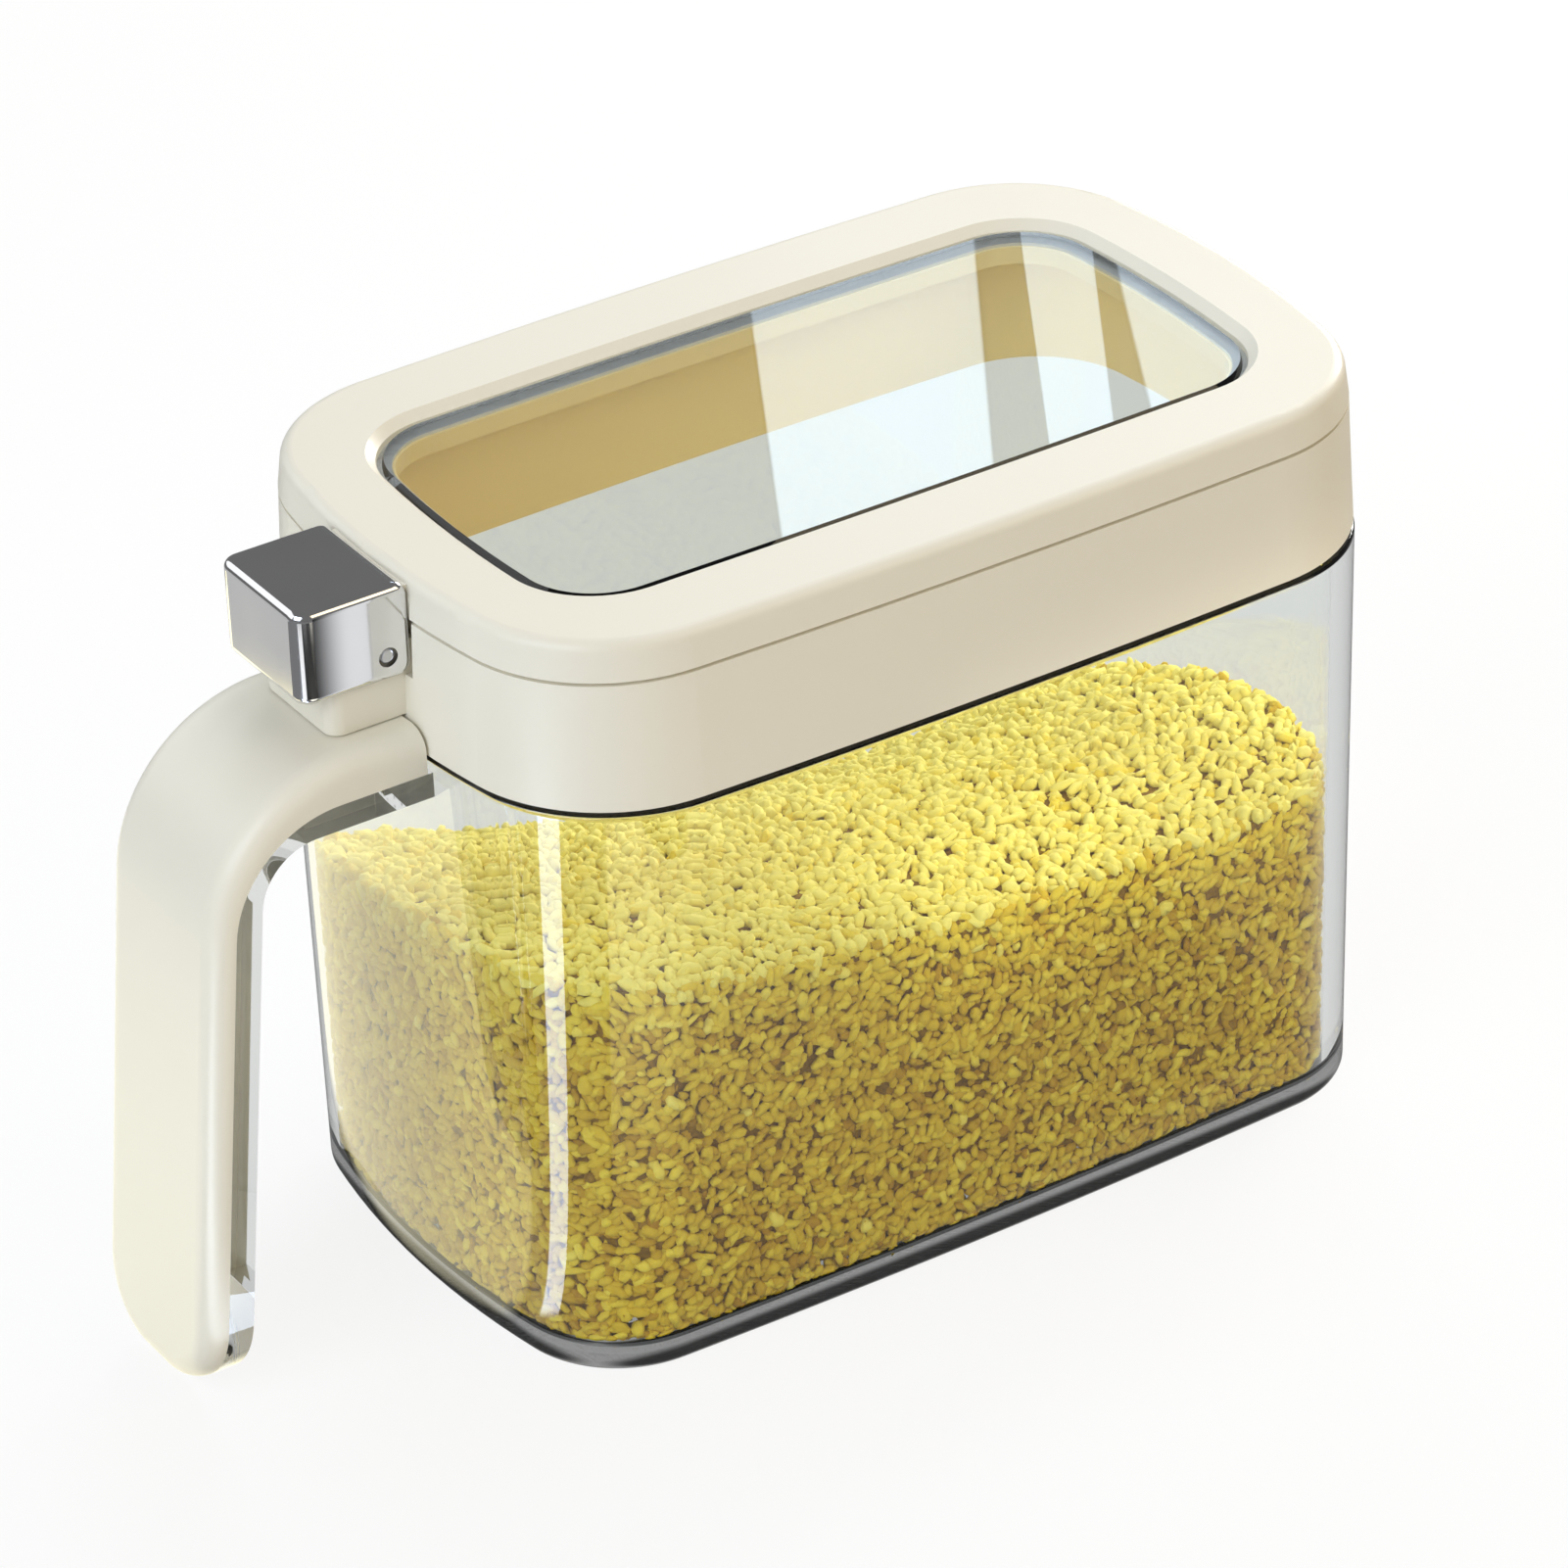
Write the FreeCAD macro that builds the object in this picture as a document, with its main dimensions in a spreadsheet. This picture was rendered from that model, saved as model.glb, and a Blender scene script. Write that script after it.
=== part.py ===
import FreeCAD, Part
import math
import os
import Sketcher
from FreeCAD import Matrix, Placement, Vector

# Spice jar with a clear body, a strap handle at -X and a lid worked by a thumb block.
# Millimetres. The origin is the middle of the base, +Z is up, +X points away from the handle.

SIZES = [
    # clear jar
    ("rim_half_length", 65.2, "jar at its rim, along X"),
    ("rim_half_width", 41.2, "jar at its rim, along Y"),
    ("rim_corner", 20.5, "corner radius at the rim"),
    ("base_less_length", 0.7, "base, shorter than the rim at each end"),
    ("base_less_width", 3.4, "base, narrower than the rim on each side"),
    ("base_less_corner", 5.0, "base, sharper corners than the rim"),
    ("side_bow", 1300.0, "radius of the long sides in plan"),
    ("end_bow", 135.0, "radius of the short ends in plan"),
    ("rim_level", 82.0, "height of the jar's rim"),
    ("jar_wall", 2.8, "thickness of the jar's wall"),
    ("jar_floor", 2.3, "thickness of the jar's floor"),
    ("foot_round", 1.6, "rounding under the outer edge"),
    ("floor_round", 1.8, "rounding inside along the floor"),
    ("rim_round", 0.5, "rounding of the rim's edges"),
    # granules in the jar
    ("fill_gap", 0.2, "between the granules and the glass"),
    ("heap_left_front", 58.5, "height of the heap, handle end, front"),
    ("heap_left_back", 49.0, "height of the heap, handle end, back"),
    ("heap_left_crown", 600.0, "radius over the heap, handle end"),
    ("heap_mid_front", 49.5, "height of the heap, middle, front"),
    ("heap_mid_back", 26.5, "height of the heap, middle, back"),
    ("heap_mid_crown", 150.0, "radius over the heap, middle"),
    ("heap_right_front", 47.3, "height of the heap, far end, front"),
    ("heap_right_back", 26.5, "height of the heap, far end, back"),
    ("heap_right_crown", 106.0, "radius over the heap, far end"),
    # collar on the rim
    ("joint_gap", 0.6, "height of the shadow line over the rim"),
    ("joint_inset", 0.9, "depth of the shadow line"),
    ("band_rise", 16.8, "height of the collar's band"),
    ("band_over_length", 0.3, "band, longer than the rim at each end"),
    ("band_less_width", 0.3, "band, narrower than the rim on each side"),
    ("band_more_corner", 1.0, "band, wider corners than the rim"),
    ("band_taper", 0.7, "how much the band narrows up to the lid"),
    ("mouth_less_length", 7.2, "pouring mouth, shorter than the rim at each end"),
    ("mouth_less_width", 11.9, "pouring mouth, narrower than the rim on each side"),
    ("mouth_less_corner", 5.5, "pouring mouth, sharper corners than the rim"),
    ("mouth_wall", 1.5, "wall round the pouring mouth"),
    ("band_wall", 1.8, "outer wall of the collar"),
    ("groove_rise", 13.5, "depth of the hollow between the collar's walls"),
    ("land_width", 2.0, "top edge of the collar that the lid sits on"),
    ("ledge_drop", 2.0, "depth of the lid seal's ledge"),
    ("seal_play", 0.1, "sideways play of the jar seal"),
    ("seal_width", 3.0, "width of the jar seal"),
    ("seal_rise", 1.6, "height of the jar seal over the rim"),
    ("lip_play", 0.4, "sideways play of the jar seal's lip in the jar"),
    ("seal_lip", 1.0, "thickness of the jar seal's lip"),
    ("seal_lip_drop", 0.8, "lip of the jar seal, under the rim"),
    # hinge bracket on the collar
    ("pin_reach", 2.1, "hinge pin, outside the band's end"),
    ("pin_drop", 3.7, "hinge pin, under the lid seam"),
    ("pin_radius", 1.0, "hinge pin"),
    ("pin_half_length", 9.3, "half length of the hinge pin"),
    ("pin_dome", 0.4, "rounding of the pin's ends"),
    ("pin_fit", 0.05, "running clearance of the hinge pin"),
    ("ear_fit", 0.01, "clearance of the pin in the bracket's ears"),
    ("boss_radius", 2.6, "ears and hub round the pin"),
    ("bracket_reach", 9.9, "bracket, outside the band's end"),
    ("bracket_half_width", 8.3, "bracket, along Y"),
    ("bracket_root", 4.6, "bracket, inside the band's end"),
    ("bracket_round", 2.0, "upright edges of the bracket"),
    ("bracket_shoulder", 8.1, "height of the bracket's left wall"),
    ("bracket_crest", 10.0, "height of the bracket beside the collar"),
    ("bracket_crest_reach", 4.5, "start of the crest, outside the band's end"),
    ("bracket_seam", 0.2, "gap under the bracket"),
    ("slot_half_width", 4.4, "slot between the ears, along Y"),
    ("slot_reach", 7.9, "slot, outside the band's end"),
    ("slot_floor", 3.1, "slot, under the hinge pin"),
    ("slot_depth", 30.0, "height of the cut that makes the slot"),
    ("pocket_depth", 2.3, "pocket in the band behind the thumb block"),
    ("pocket_side", 0.4, "pocket, beside the thumb block"),
    ("pocket_drop", 0.5, "pocket, under the thumb block"),
    # lid
    ("lid_rise", 5.5, "height of the lid's band"),
    ("seam_rise", 0.45, "height of the shadow line under the lid"),
    ("seam_inset", 0.9, "depth of the shadow line under the lid"),
    ("lid_taper", 0.65, "how much the lid narrows up to its top"),
    ("lid_round", 1.6, "outer top edge of the lid"),
    ("lid_pocket_wall", 3.5, "lid wall round the liner"),
    ("lid_plate", 3.0, "thickness of the lid's frame"),
    ("window_less_length", 12.0, "window, shorter than the rim at each end"),
    ("window_less_width", 14.4, "window, narrower than the rim on each side"),
    ("window_less_corner", 9.3, "window, sharper corners than the rim"),
    ("window_side_bow", 2600.0, "radius of the window's long sides"),
    ("window_end_bow", 190.0, "radius of the window's ends"),
    ("window_slope", 1.2, "bevel of the frame round the window"),
    ("pane_drop", 0.9, "pane, under the lid's top"),
    ("pane_thickness", 2.8, "thickness of the pane"),
    ("pane_bevel", 0.9, "bevel of the pane's upper edge"),
    ("pane_play", 0.12, "play round the pane"),
    ("gasket_thickness", 0.4, "soft strip under the pane"),
    ("gasket_width", 2.0, "width of the strip under the pane"),
    ("liner_play", 0.1, "play round the liner"),
    ("liner_lip", 2.4, "liner under the edge of the pane"),
    ("liner_drop", 1.0, "liner, under the lid seam"),
    ("lid_seal_width", 2.8, "width of the lid seal"),
    # lid arm inside the thumb block
    ("arm_plate", 2.8, "thickness of the lid's arm"),
    ("arm_play", 0.1, "between the arm and the thumb block"),
    ("arm_root", 4.0, "arm, inside the band's end"),
    ("web_left", 2.6, "web over the pin, towards the handle"),
    ("hub_front", 4.1, "hub, front face along Y"),
    ("hub_back", 1.0, "hub, back face along Y"),
    # thumb block
    ("block_left", 12.0, "thumb block, from the pin towards the handle"),
    ("block_right", 3.4, "thumb block, from the pin towards the lid"),
    ("block_half_width", 9.5, "thumb block, along Y"),
    ("block_drop", 3.3, "thumb block, under the pin"),
    ("block_proud", 0.1, "thumb block, over the lid's top"),
    ("block_wall", 0.9, "wall of the thumb block"),
    ("block_nose", 2.0, "corners of the thumb block beside the lid"),
    ("block_upright", 2.2, "upright edges of the thumb block"),
    ("block_top_round", 1.1, "top edges of the thumb block"),
    ("block_hole_play", 0.3, "hole in the thumb block round the pin"),
    # spring
    ("wire_radius", 0.3, "spring wire"),
    ("coil_radius", 1.75, "spring coil, to the middle of the wire"),
    ("coil_pitch", 0.70, "spring coil, per turn"),
    ("coil_turns", 2.0, "whole turns of the spring"),
    ("spring_tilt", 35.0, "angle of the leg under the lid's arm"),
    ("spring_upper_leg", 6.4, "leg under the lid's arm"),
    ("spring_lower_leg", 5.3, "leg on the bracket's floor"),
    ("spring_front", 1.9, "first turn, along Y"),
    # handle
    ("arm_level", 86.3, "top of the handle's arm"),
    ("tip_level", 1.5, "end of the handle over the table"),
    ("handle_half_width", 13.0, "handle, along Y"),
    ("handle_reach", 103.0, "outer face of the handle at its tip"),
    ("handle_lean", 6.0, "lean of the grip, degrees"),
    ("outer_bend", 22.3, "bend of the cover's outer face"),
    ("cover_bend", 15.4, "bend of the line between cover and clear strap"),
    ("inner_bend", 8.1, "bend of the handle's inner face"),
    ("cover_depth", 3.4, "cover at the grip"),
    ("cover_arm_depth", 6.0, "cover at the arm"),
    ("grip_depth", 6.9, "whole grip"),
    ("arm_depth", 9.4, "whole arm"),
    ("tip_round", 10.5, "corner radius of the handle's tip"),
    ("cover_wall", 1.8, "wall of the cover"),
    ("cover_round", 3.0, "outer edges of the cover"),
    ("core_round", 0.8, "inner edges of the clear strap"),
    ("handle_root", 5.2, "reach of the handle's side view into the jar"),
    ("tongue_play", 0.1, "between the clear tongue and the cover"),
    ("tongue_stop", 10.0, "end of the tongue over the tip"),
    ("collar_play", 0.4, "between the handle and the collar"),
]

doc = FreeCAD.newDocument("SpiceJar")
sheet = doc.addObject("Spreadsheet::Sheet", "sizes")


def fill_sheet():
    for row, (alias, number, note) in enumerate(SIZES, start=1):
        sheet.set("A%d" % row, alias)
        sheet.set("B%d" % row, str(number))
        sheet.set("C%d" % row, note)
        sheet.setAlias("B%d" % row, alias)
    doc.recompute()


fill_sheet()


# A length is a list of sheet names that are added up; a leading minus takes one away.
def split(names):
    pairs = []
    for name in names:
        pairs.append((-1.0, name[1:]) if name.startswith("-") else (1.0, name))
    return pairs


def total(names):
    return sum(sign * sheet.get(name) for sign, name in split(names))


def formula(names):
    words = ""
    for sign, name in split(shortened(names)):
        words += (" - sizes." if sign < 0 else " + sizes.") + name
    return words.strip(" +") if words.startswith(" +") else words.strip()


def shortened(names):
    # Leaves out pairs that cancel, such as a height and the same height taken away.
    left = list(names)
    for name in names:
        opposite = name[1:] if name.startswith("-") else "-" + name
        if name in left and opposite in left:
            left.remove(name)
            left.remove(opposite)
    return left


def negated(names):
    return [name[1:] if name.startswith("-") else "-" + name for name in names]


# Heights and places that several pieces share.
BAND_FOOT = ["rim_level", "joint_gap"]
SEAM = BAND_FOOT + ["band_rise"]
LID_TOP = SEAM + ["lid_rise"]
LEDGE = SEAM + ["-ledge_drop"]
BAND_LEFT = ["-rim_half_length", "-band_over_length"]
PIN_X = BAND_LEFT + ["-pin_reach"]
PIN_Z = SEAM + ["-pin_drop"]
BLOCK_TOP = LID_TOP + ["block_proud"]
ARM_TOP = BLOCK_TOP + ["-block_wall", "-arm_play"]
ARM_UNDER = ARM_TOP + ["-arm_plate"]
BRACKET_FOOT = ["arm_level", "bracket_seam"]
POCKET_X = BAND_LEFT + ["pocket_depth"]
FRAME_UNDER = LID_TOP + ["-lid_plate"]
PANE_TOP = LID_TOP + ["-pane_drop"]
PANE_UNDER = PANE_TOP + ["-pane_thickness"]
LINER_SEAT = PANE_UNDER + ["-gasket_thickness"]
LINER_UNDER = SEAM + ["-liner_drop"]

# Plan outlines: half length, half width, corner radius, and the bows of sides and ends.
RIM = (["rim_half_length"], ["rim_half_width"], ["rim_corner"], ["side_bow"], ["end_bow"])


def changed(length, width, corner, bows=("side_bow", "end_bow")):
    # A plan that follows the jar's rim.
    side, end = bows
    return (RIM[0] + [length], RIM[1] + [width], RIM[2] + [corner], [side], [end])


BASE = changed("-base_less_length", "-base_less_width", "-base_less_corner")
BAND = changed("band_over_length", "-band_less_width", "band_more_corner")
MOUTH = changed("-mouth_less_length", "-mouth_less_width", "-mouth_less_corner")
WINDOW = changed("-window_less_length", "-window_less_width", "-window_less_corner",
                 ("window_side_bow", "window_end_bow"))


def new_body(node):
    body = doc.addObject("PartDesign::Body", node)
    body.Label = node
    return body


def new_sketch(body, role, name, offset=()):
    sketch = body.newObject("Sketcher::SketchObject", name)
    plane = next(item for item in body.Origin.OriginFeatures if item.Role == role)
    sketch.AttachmentSupport = [(plane, "")]
    sketch.MapMode = "FlatFace"
    if offset:
        sketch.setExpression("AttachmentOffset.Base.z", formula(offset))
    return sketch


def bind(sketch, constraint, names):
    index = sketch.addConstraint(constraint)
    sketch.setExpression("Constraints[%d]" % index, formula(names))


def place(sketch, item, point, axis, names):
    # Ties one coordinate of a point to the sheet, measured from the sketch's origin.
    kind = "Distance" + axis
    number = total(names)
    if number >= 0:
        bind(sketch, Sketcher.Constraint(kind, -1, 1, item, point, number), names)
    else:
        bind(sketch, Sketcher.Constraint(kind, item, point, -1, 1, -number), negated(names))


def corner_centre(length, width, corner, side, end):
    # Centre of a corner arc that touches a bowed long side and a bowed end.
    x = length - corner
    y = width - corner
    for _ in range(60):
        y = math.sqrt((side - corner) ** 2 - x * x) - (side - width)
        x = math.sqrt((end - corner) ** 2 - y * y) - (end - length)
    return x, y


def outline(sketch, plan, inset=()):
    # Eight arcs that touch: two ends, two long sides and four corners between them.
    long_names, wide_names, corner_names, side_names, end_names = plan
    less = negated(inset)
    length, width, corner, side, end = (total(names + less) for names in plan)
    x, y = corner_centre(length, width, corner, side, end)
    flat = math.atan2(y, x + end - length)
    steep = math.atan2(y + side - width, x)
    half, full = math.pi, 2 * math.pi

    def arc(centre_x, centre_y, radius, start, stop):
        circle = Part.Circle(Vector(centre_x, centre_y, 0), Vector(0, 0, 1), radius)
        return sketch.addGeometry(Part.ArcOfCircle(circle, start, stop), False)

    arcs = [
        arc(length - end, 0, end, -flat, flat),
        arc(x, y, corner, flat, steep),
        arc(0, width - side, side, steep, half - steep),
        arc(-x, y, corner, half - steep, half - flat),
        arc(end - length, 0, end, half - flat, half + flat),
        arc(-x, -y, corner, half + flat, half + steep),
        arc(0, side - width, side, half + steep, full - steep),
        arc(x, -y, corner, full - steep, full - flat),
    ]
    for index, item in enumerate(arcs):
        following = arcs[(index + 1) % len(arcs)]
        sketch.addConstraint(Sketcher.Constraint("Tangent", item, 2, following, 1))
    for item in (arcs[0], arcs[4]):
        sketch.addConstraint(Sketcher.Constraint("PointOnObject", item, 3, -1))
    for item in (arcs[2], arcs[6]):
        sketch.addConstraint(Sketcher.Constraint("PointOnObject", item, 3, -2))
    place(sketch, arcs[0], 3, "X", long_names + negated(end_names))
    place(sketch, arcs[4], 3, "X", end_names + negated(long_names))
    place(sketch, arcs[2], 3, "Y", wide_names + negated(side_names))
    place(sketch, arcs[6], 3, "Y", side_names + negated(wide_names))
    for index, item in enumerate(arcs):
        names = corner_names if index % 2 else (side_names if index % 4 else end_names)
        radius = total(names + less)
        bind(sketch, Sketcher.Constraint("Radius", item, radius), names + less)


def plan_sketch(body, name, level, *rings):
    sketch = new_sketch(body, "XY_Plane", name, level)
    for plan, inset in rings:
        outline(sketch, plan, inset)
    return sketch


def polygon(sketch, points):
    # Each point is a pair of name lists; every coordinate is tied to the sheet.
    places = [Vector(total(x), total(y), 0) for x, y in points]
    count = len(points)
    sides = []
    for index in range(count):
        line = Part.LineSegment(places[index], places[(index + 1) % count])
        sides.append(sketch.addGeometry(line, False))
    for index, (x, y) in enumerate(points):
        following = sides[(index + 1) % count]
        sketch.addConstraint(Sketcher.Constraint("Coincident", sides[index], 2, following, 1))
        place(sketch, sides[index], 1, "X", x)
        place(sketch, sides[index], 1, "Y", y)


def rectangle(sketch, left, right, low, high):
    polygon(sketch, [(left, low), (right, low), (right, high), (left, high)])


def circle(sketch, x, y, radius):
    shape = Part.Circle(Vector(total(x), total(y), 0), Vector(0, 0, 1), total(radius))
    item = sketch.addGeometry(shape, False)
    place(sketch, item, 3, "X", x)
    place(sketch, item, 3, "Y", y)
    bind(sketch, Sketcher.Constraint("Radius", item, total(radius)), radius)


def loft(body, name, sketches, cut=False, ruled=True):
    kind = "PartDesign::SubtractiveLoft" if cut else "PartDesign::AdditiveLoft"
    feature = body.newObject(kind, name)
    feature.Profile = sketches[0]
    feature.Sections = list(sketches[1:])
    feature.Ruled = ruled
    doc.recompute()
    return feature


def pad(body, name, sketch, length):
    feature = body.newObject("PartDesign::Pad", name)
    feature.Profile = sketch
    feature.setExpression("Length", formula(length))
    doc.recompute()
    return feature


def tapered_pad(body, name, sketch, height, taper):
    feature = pad(body, name, sketch, height)
    feature.setExpression("TaperAngle", "-atan((%s) / (%s))" % (formula(taper), formula(height)))
    doc.recompute()
    return feature


def pad_across(body, name, sketch, front, back=None):
    # Both ways along Y from a sketch in the XZ plane, whose normal points to -Y.
    feature = body.newObject("PartDesign::Pad", name)
    feature.Profile = sketch
    feature.SideType = "Two sides"
    feature.setExpression("Length", formula(front))
    feature.setExpression("Length2", formula(back or front))
    doc.recompute()
    return feature


def check_cut(feature, before):
    if feature.Shape.Volume >= before:
        raise RuntimeError(feature.Name + " cuts nothing")


def pocket_up(body, name, sketch, height):
    before = body.Shape.Volume
    feature = body.newObject("PartDesign::Pocket", name)
    feature.Profile = sketch
    feature.Reversed = True
    feature.setExpression("Length", formula(height))
    doc.recompute()
    check_cut(feature, before)
    return feature


def pocket_across(body, name, sketch, front, back=None):
    before = body.Shape.Volume
    feature = body.newObject("PartDesign::Pocket", name)
    feature.Profile = sketch
    feature.SideType = "Two sides"
    feature.setExpression("Length", formula(back or front))
    feature.setExpression("Length2", formula(front))
    doc.recompute()
    check_cut(feature, before)
    return feature


def edges_where(shape, test):
    return ["Edge%d" % number for number, edge in enumerate(shape.Edges, start=1) if test(edge)]


def soften(body, name, test, radius, kind="Fillet"):
    # Rounds or bevels the edges of the body's last feature that pass the test.
    base = body.Tip
    feature = body.newObject("PartDesign::" + kind, name)
    feature.Base = (base, edges_where(base.Shape, test))
    feature.setExpression("Size" if kind == "Chamfer" else "Radius", formula(radius))
    doc.recompute()
    return feature


def near(first, second):
    return abs(first - second) < 0.02


def lies_at(level):
    # Test for edges that lie flat at one height.
    height = total(level)
    return lambda edge: near(edge.BoundBox.ZMin, height) and near(edge.BoundBox.ZMax, height)


def make_jar_body():
    body = new_body("jar_body")
    foot = plan_sketch(body, "jar_foot", (), (BASE, ()))
    rim = plan_sketch(body, "jar_rim", ["rim_level"], (RIM, ()))
    loft(body, "jar_shell", [foot, rim])
    floor = plan_sketch(body, "jar_floor_plan", ["jar_floor"], (BASE, ["jar_wall"]))
    mouth = plan_sketch(body, "jar_mouth", ["rim_level"], (RIM, ["jar_wall"]))
    loft(body, "jar_hollow", [floor, mouth], cut=True)
    soften(body, "jar_foot_round", lies_at([]), ["foot_round"])
    soften(body, "jar_floor_rounding", lies_at(["jar_floor"]), ["floor_round"])
    soften(body, "jar_rim_rounding", lies_at(["rim_level"]), ["rim_round"])
    return body


def heap_section(body, name, along, front, back, crown):
    # The space over the heap in one upright section across the jar.
    sketch = new_sketch(body, "YZ_Plane", name, along)
    reach = total(["rim_half_width"])
    top = total(SEAM)
    low_front = Vector(-reach, total([front]), 0)
    low_back = Vector(reach, total([back]), 0)
    chord = low_back - low_front
    radius = total([crown])
    rise = math.sqrt(radius ** 2 - (chord.Length / 2) ** 2)
    centre = (low_front + low_back) * 0.5 + Vector(chord.y, -chord.x, 0).normalize() * rise
    start = math.atan2(low_back.y - centre.y, low_back.x - centre.x)
    stop = math.atan2(low_front.y - centre.y, low_front.x - centre.x)
    arc = Part.ArcOfCircle(Part.Circle(centre, Vector(0, 0, 1), radius), start, stop)
    surface = sketch.addGeometry(arc, False)
    corners = [low_front, Vector(-reach, top, 0), Vector(reach, top, 0), low_back]
    lines = []
    for first, second in zip(corners, corners[1:]):
        lines.append(sketch.addGeometry(Part.LineSegment(first, second), False))
    left, over, right = lines
    for one, end, two, begin in ((surface, 2, left, 1), (left, 2, over, 1),
                                 (over, 2, right, 1), (right, 2, surface, 1)):
        sketch.addConstraint(Sketcher.Constraint("Coincident", one, end, two, begin))
    for item, point, side, level in ((left, 1, "-rim_half_width", [front]),
                                     (left, 2, "-rim_half_width", SEAM),
                                     (over, 2, "rim_half_width", SEAM),
                                     (right, 2, "rim_half_width", [back])):
        place(sketch, item, point, "X", [side])
        place(sketch, item, point, "Y", level)
    bind(sketch, Sketcher.Constraint("Radius", surface, radius), [crown])
    return sketch


def make_fill():
    body = new_body("fill")
    gap = ["jar_wall", "fill_gap"]
    low = ["jar_floor", "fill_gap"]
    floor = plan_sketch(body, "fill_floor", low, (BASE, gap + ["floor_round"]))
    wall = plan_sketch(body, "fill_wall", low + ["floor_round"], (BASE, gap))
    top = plan_sketch(body, "fill_top", ["rim_level"], (RIM, gap))
    loft(body, "fill_block", [floor, wall, top])
    sections = [
        heap_section(body, "heap_left", ["-rim_half_length"], "heap_left_front",
                     "heap_left_back", "heap_left_crown"),
        heap_section(body, "heap_mid", (), "heap_mid_front", "heap_mid_back", "heap_mid_crown"),
        heap_section(body, "heap_right", ["rim_half_length"], "heap_right_front",
                     "heap_right_back", "heap_right_crown"),
    ]
    loft(body, "heap", sections, cut=True, ruled=False)
    return body


def make_jar_seal():
    body = new_body("jar_seal")
    outer = ["band_taper", "band_wall", "seal_play"]
    lip = ["jar_wall", "lip_play"]
    flange = plan_sketch(body, "seal_flange", ["rim_level"],
                         (BAND, outer), (BAND, outer + ["seal_width"]))
    pad(body, "seal_flange_pad", flange, ["seal_rise"])
    lips = plan_sketch(body, "seal_lip_plan", ["rim_level", "-seal_lip_drop"],
                       (RIM, lip), (RIM, lip + ["seal_lip"]))
    pad(body, "seal_lip_pad", lips, ["seal_lip_drop", "seal_rise"])
    return body


def make_collar():
    body = new_body("collar")
    foot = plan_sketch(body, "band_foot", BAND_FOOT, (BAND, ()))
    tapered_pad(body, "band", foot, ["band_rise"], ["band_taper"])
    seat = plan_sketch(body, "seat_plan", ["rim_level"], (BAND, ["joint_inset"]))
    pad(body, "seat", seat, ["joint_gap"])
    mouth = plan_sketch(body, "mouth_plan", ["rim_level"], (MOUTH, ()))
    pocket_up(body, "mouth", mouth, ["joint_gap", "band_rise"])
    ledge = plan_sketch(body, "ledge_plan", LEDGE, (BAND, ["band_taper", "land_width"]))
    pocket_up(body, "ledge", ledge, ["ledge_drop"])
    groove = plan_sketch(body, "groove_plan", ["rim_level"],
                         (BAND, ["band_taper", "band_wall"]), (MOUTH, ["-mouth_wall"]))
    pocket_up(body, "groove", groove, ["groove_rise"])

    pocket = new_sketch(body, "XZ_Plane", "pocket_side_view")
    under = PIN_Z + ["-block_drop", "-pocket_drop"]
    rectangle(pocket, PIN_X + ["-block_left"], POCKET_X, under, LID_TOP)
    pocket_across(body, "block_pocket", pocket, ["block_half_width", "pocket_side"])

    side = new_sketch(body, "XZ_Plane", "bracket_side_view")
    left = BAND_LEFT + ["-bracket_reach"]
    right = BAND_LEFT + ["bracket_root"]
    crest = BRACKET_FOOT + ["bracket_crest"]
    polygon(side, [
        (left, BRACKET_FOOT),
        (right, BRACKET_FOOT),
        (right, crest),
        (BAND_LEFT + ["-bracket_crest_reach"], crest),
        (left, BRACKET_FOOT + ["bracket_shoulder"]),
    ])
    pad_across(body, "bracket", side, ["bracket_half_width"])
    half_width = total(["bracket_half_width"])
    far_left = total(left)
    soften(body, "bracket_rounding",
           lambda edge: near(edge.BoundBox.XMax, far_left)
           and near(edge.BoundBox.YMin, edge.BoundBox.YMax)
           and near(abs(edge.BoundBox.YMin), half_width), ["bracket_round"])
    boss = new_sketch(body, "XZ_Plane", "boss_side_view")
    circle(boss, PIN_X, PIN_Z, ["boss_radius"])
    pad_across(body, "boss", boss, ["bracket_half_width"])

    slot = new_sketch(body, "XZ_Plane", "slot_side_view")
    floor = PIN_Z + ["-slot_floor"]
    rectangle(slot, BAND_LEFT + ["-slot_reach"], POCKET_X, floor,
              floor + ["slot_depth"])
    pocket_across(body, "slot", slot, ["slot_half_width"])
    bore = new_sketch(body, "XZ_Plane", "bore_side_view")
    circle(bore, PIN_X, PIN_Z, ["pin_radius", "ear_fit"])
    pocket_across(body, "bore", bore, ["block_half_width"])
    return body


def make_hinge_pin():
    body = new_body("hinge_pin")
    side = new_sketch(body, "XZ_Plane", "pin_side_view")
    circle(side, PIN_X, PIN_Z, ["pin_radius"])
    pad_across(body, "pin", side, ["pin_half_length"])
    end = total(["pin_half_length"])
    soften(body, "pin_ends",
           lambda edge: near(abs(edge.BoundBox.YMin), end)
           and near(edge.BoundBox.YMin, edge.BoundBox.YMax), ["pin_dome"])
    return body


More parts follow.
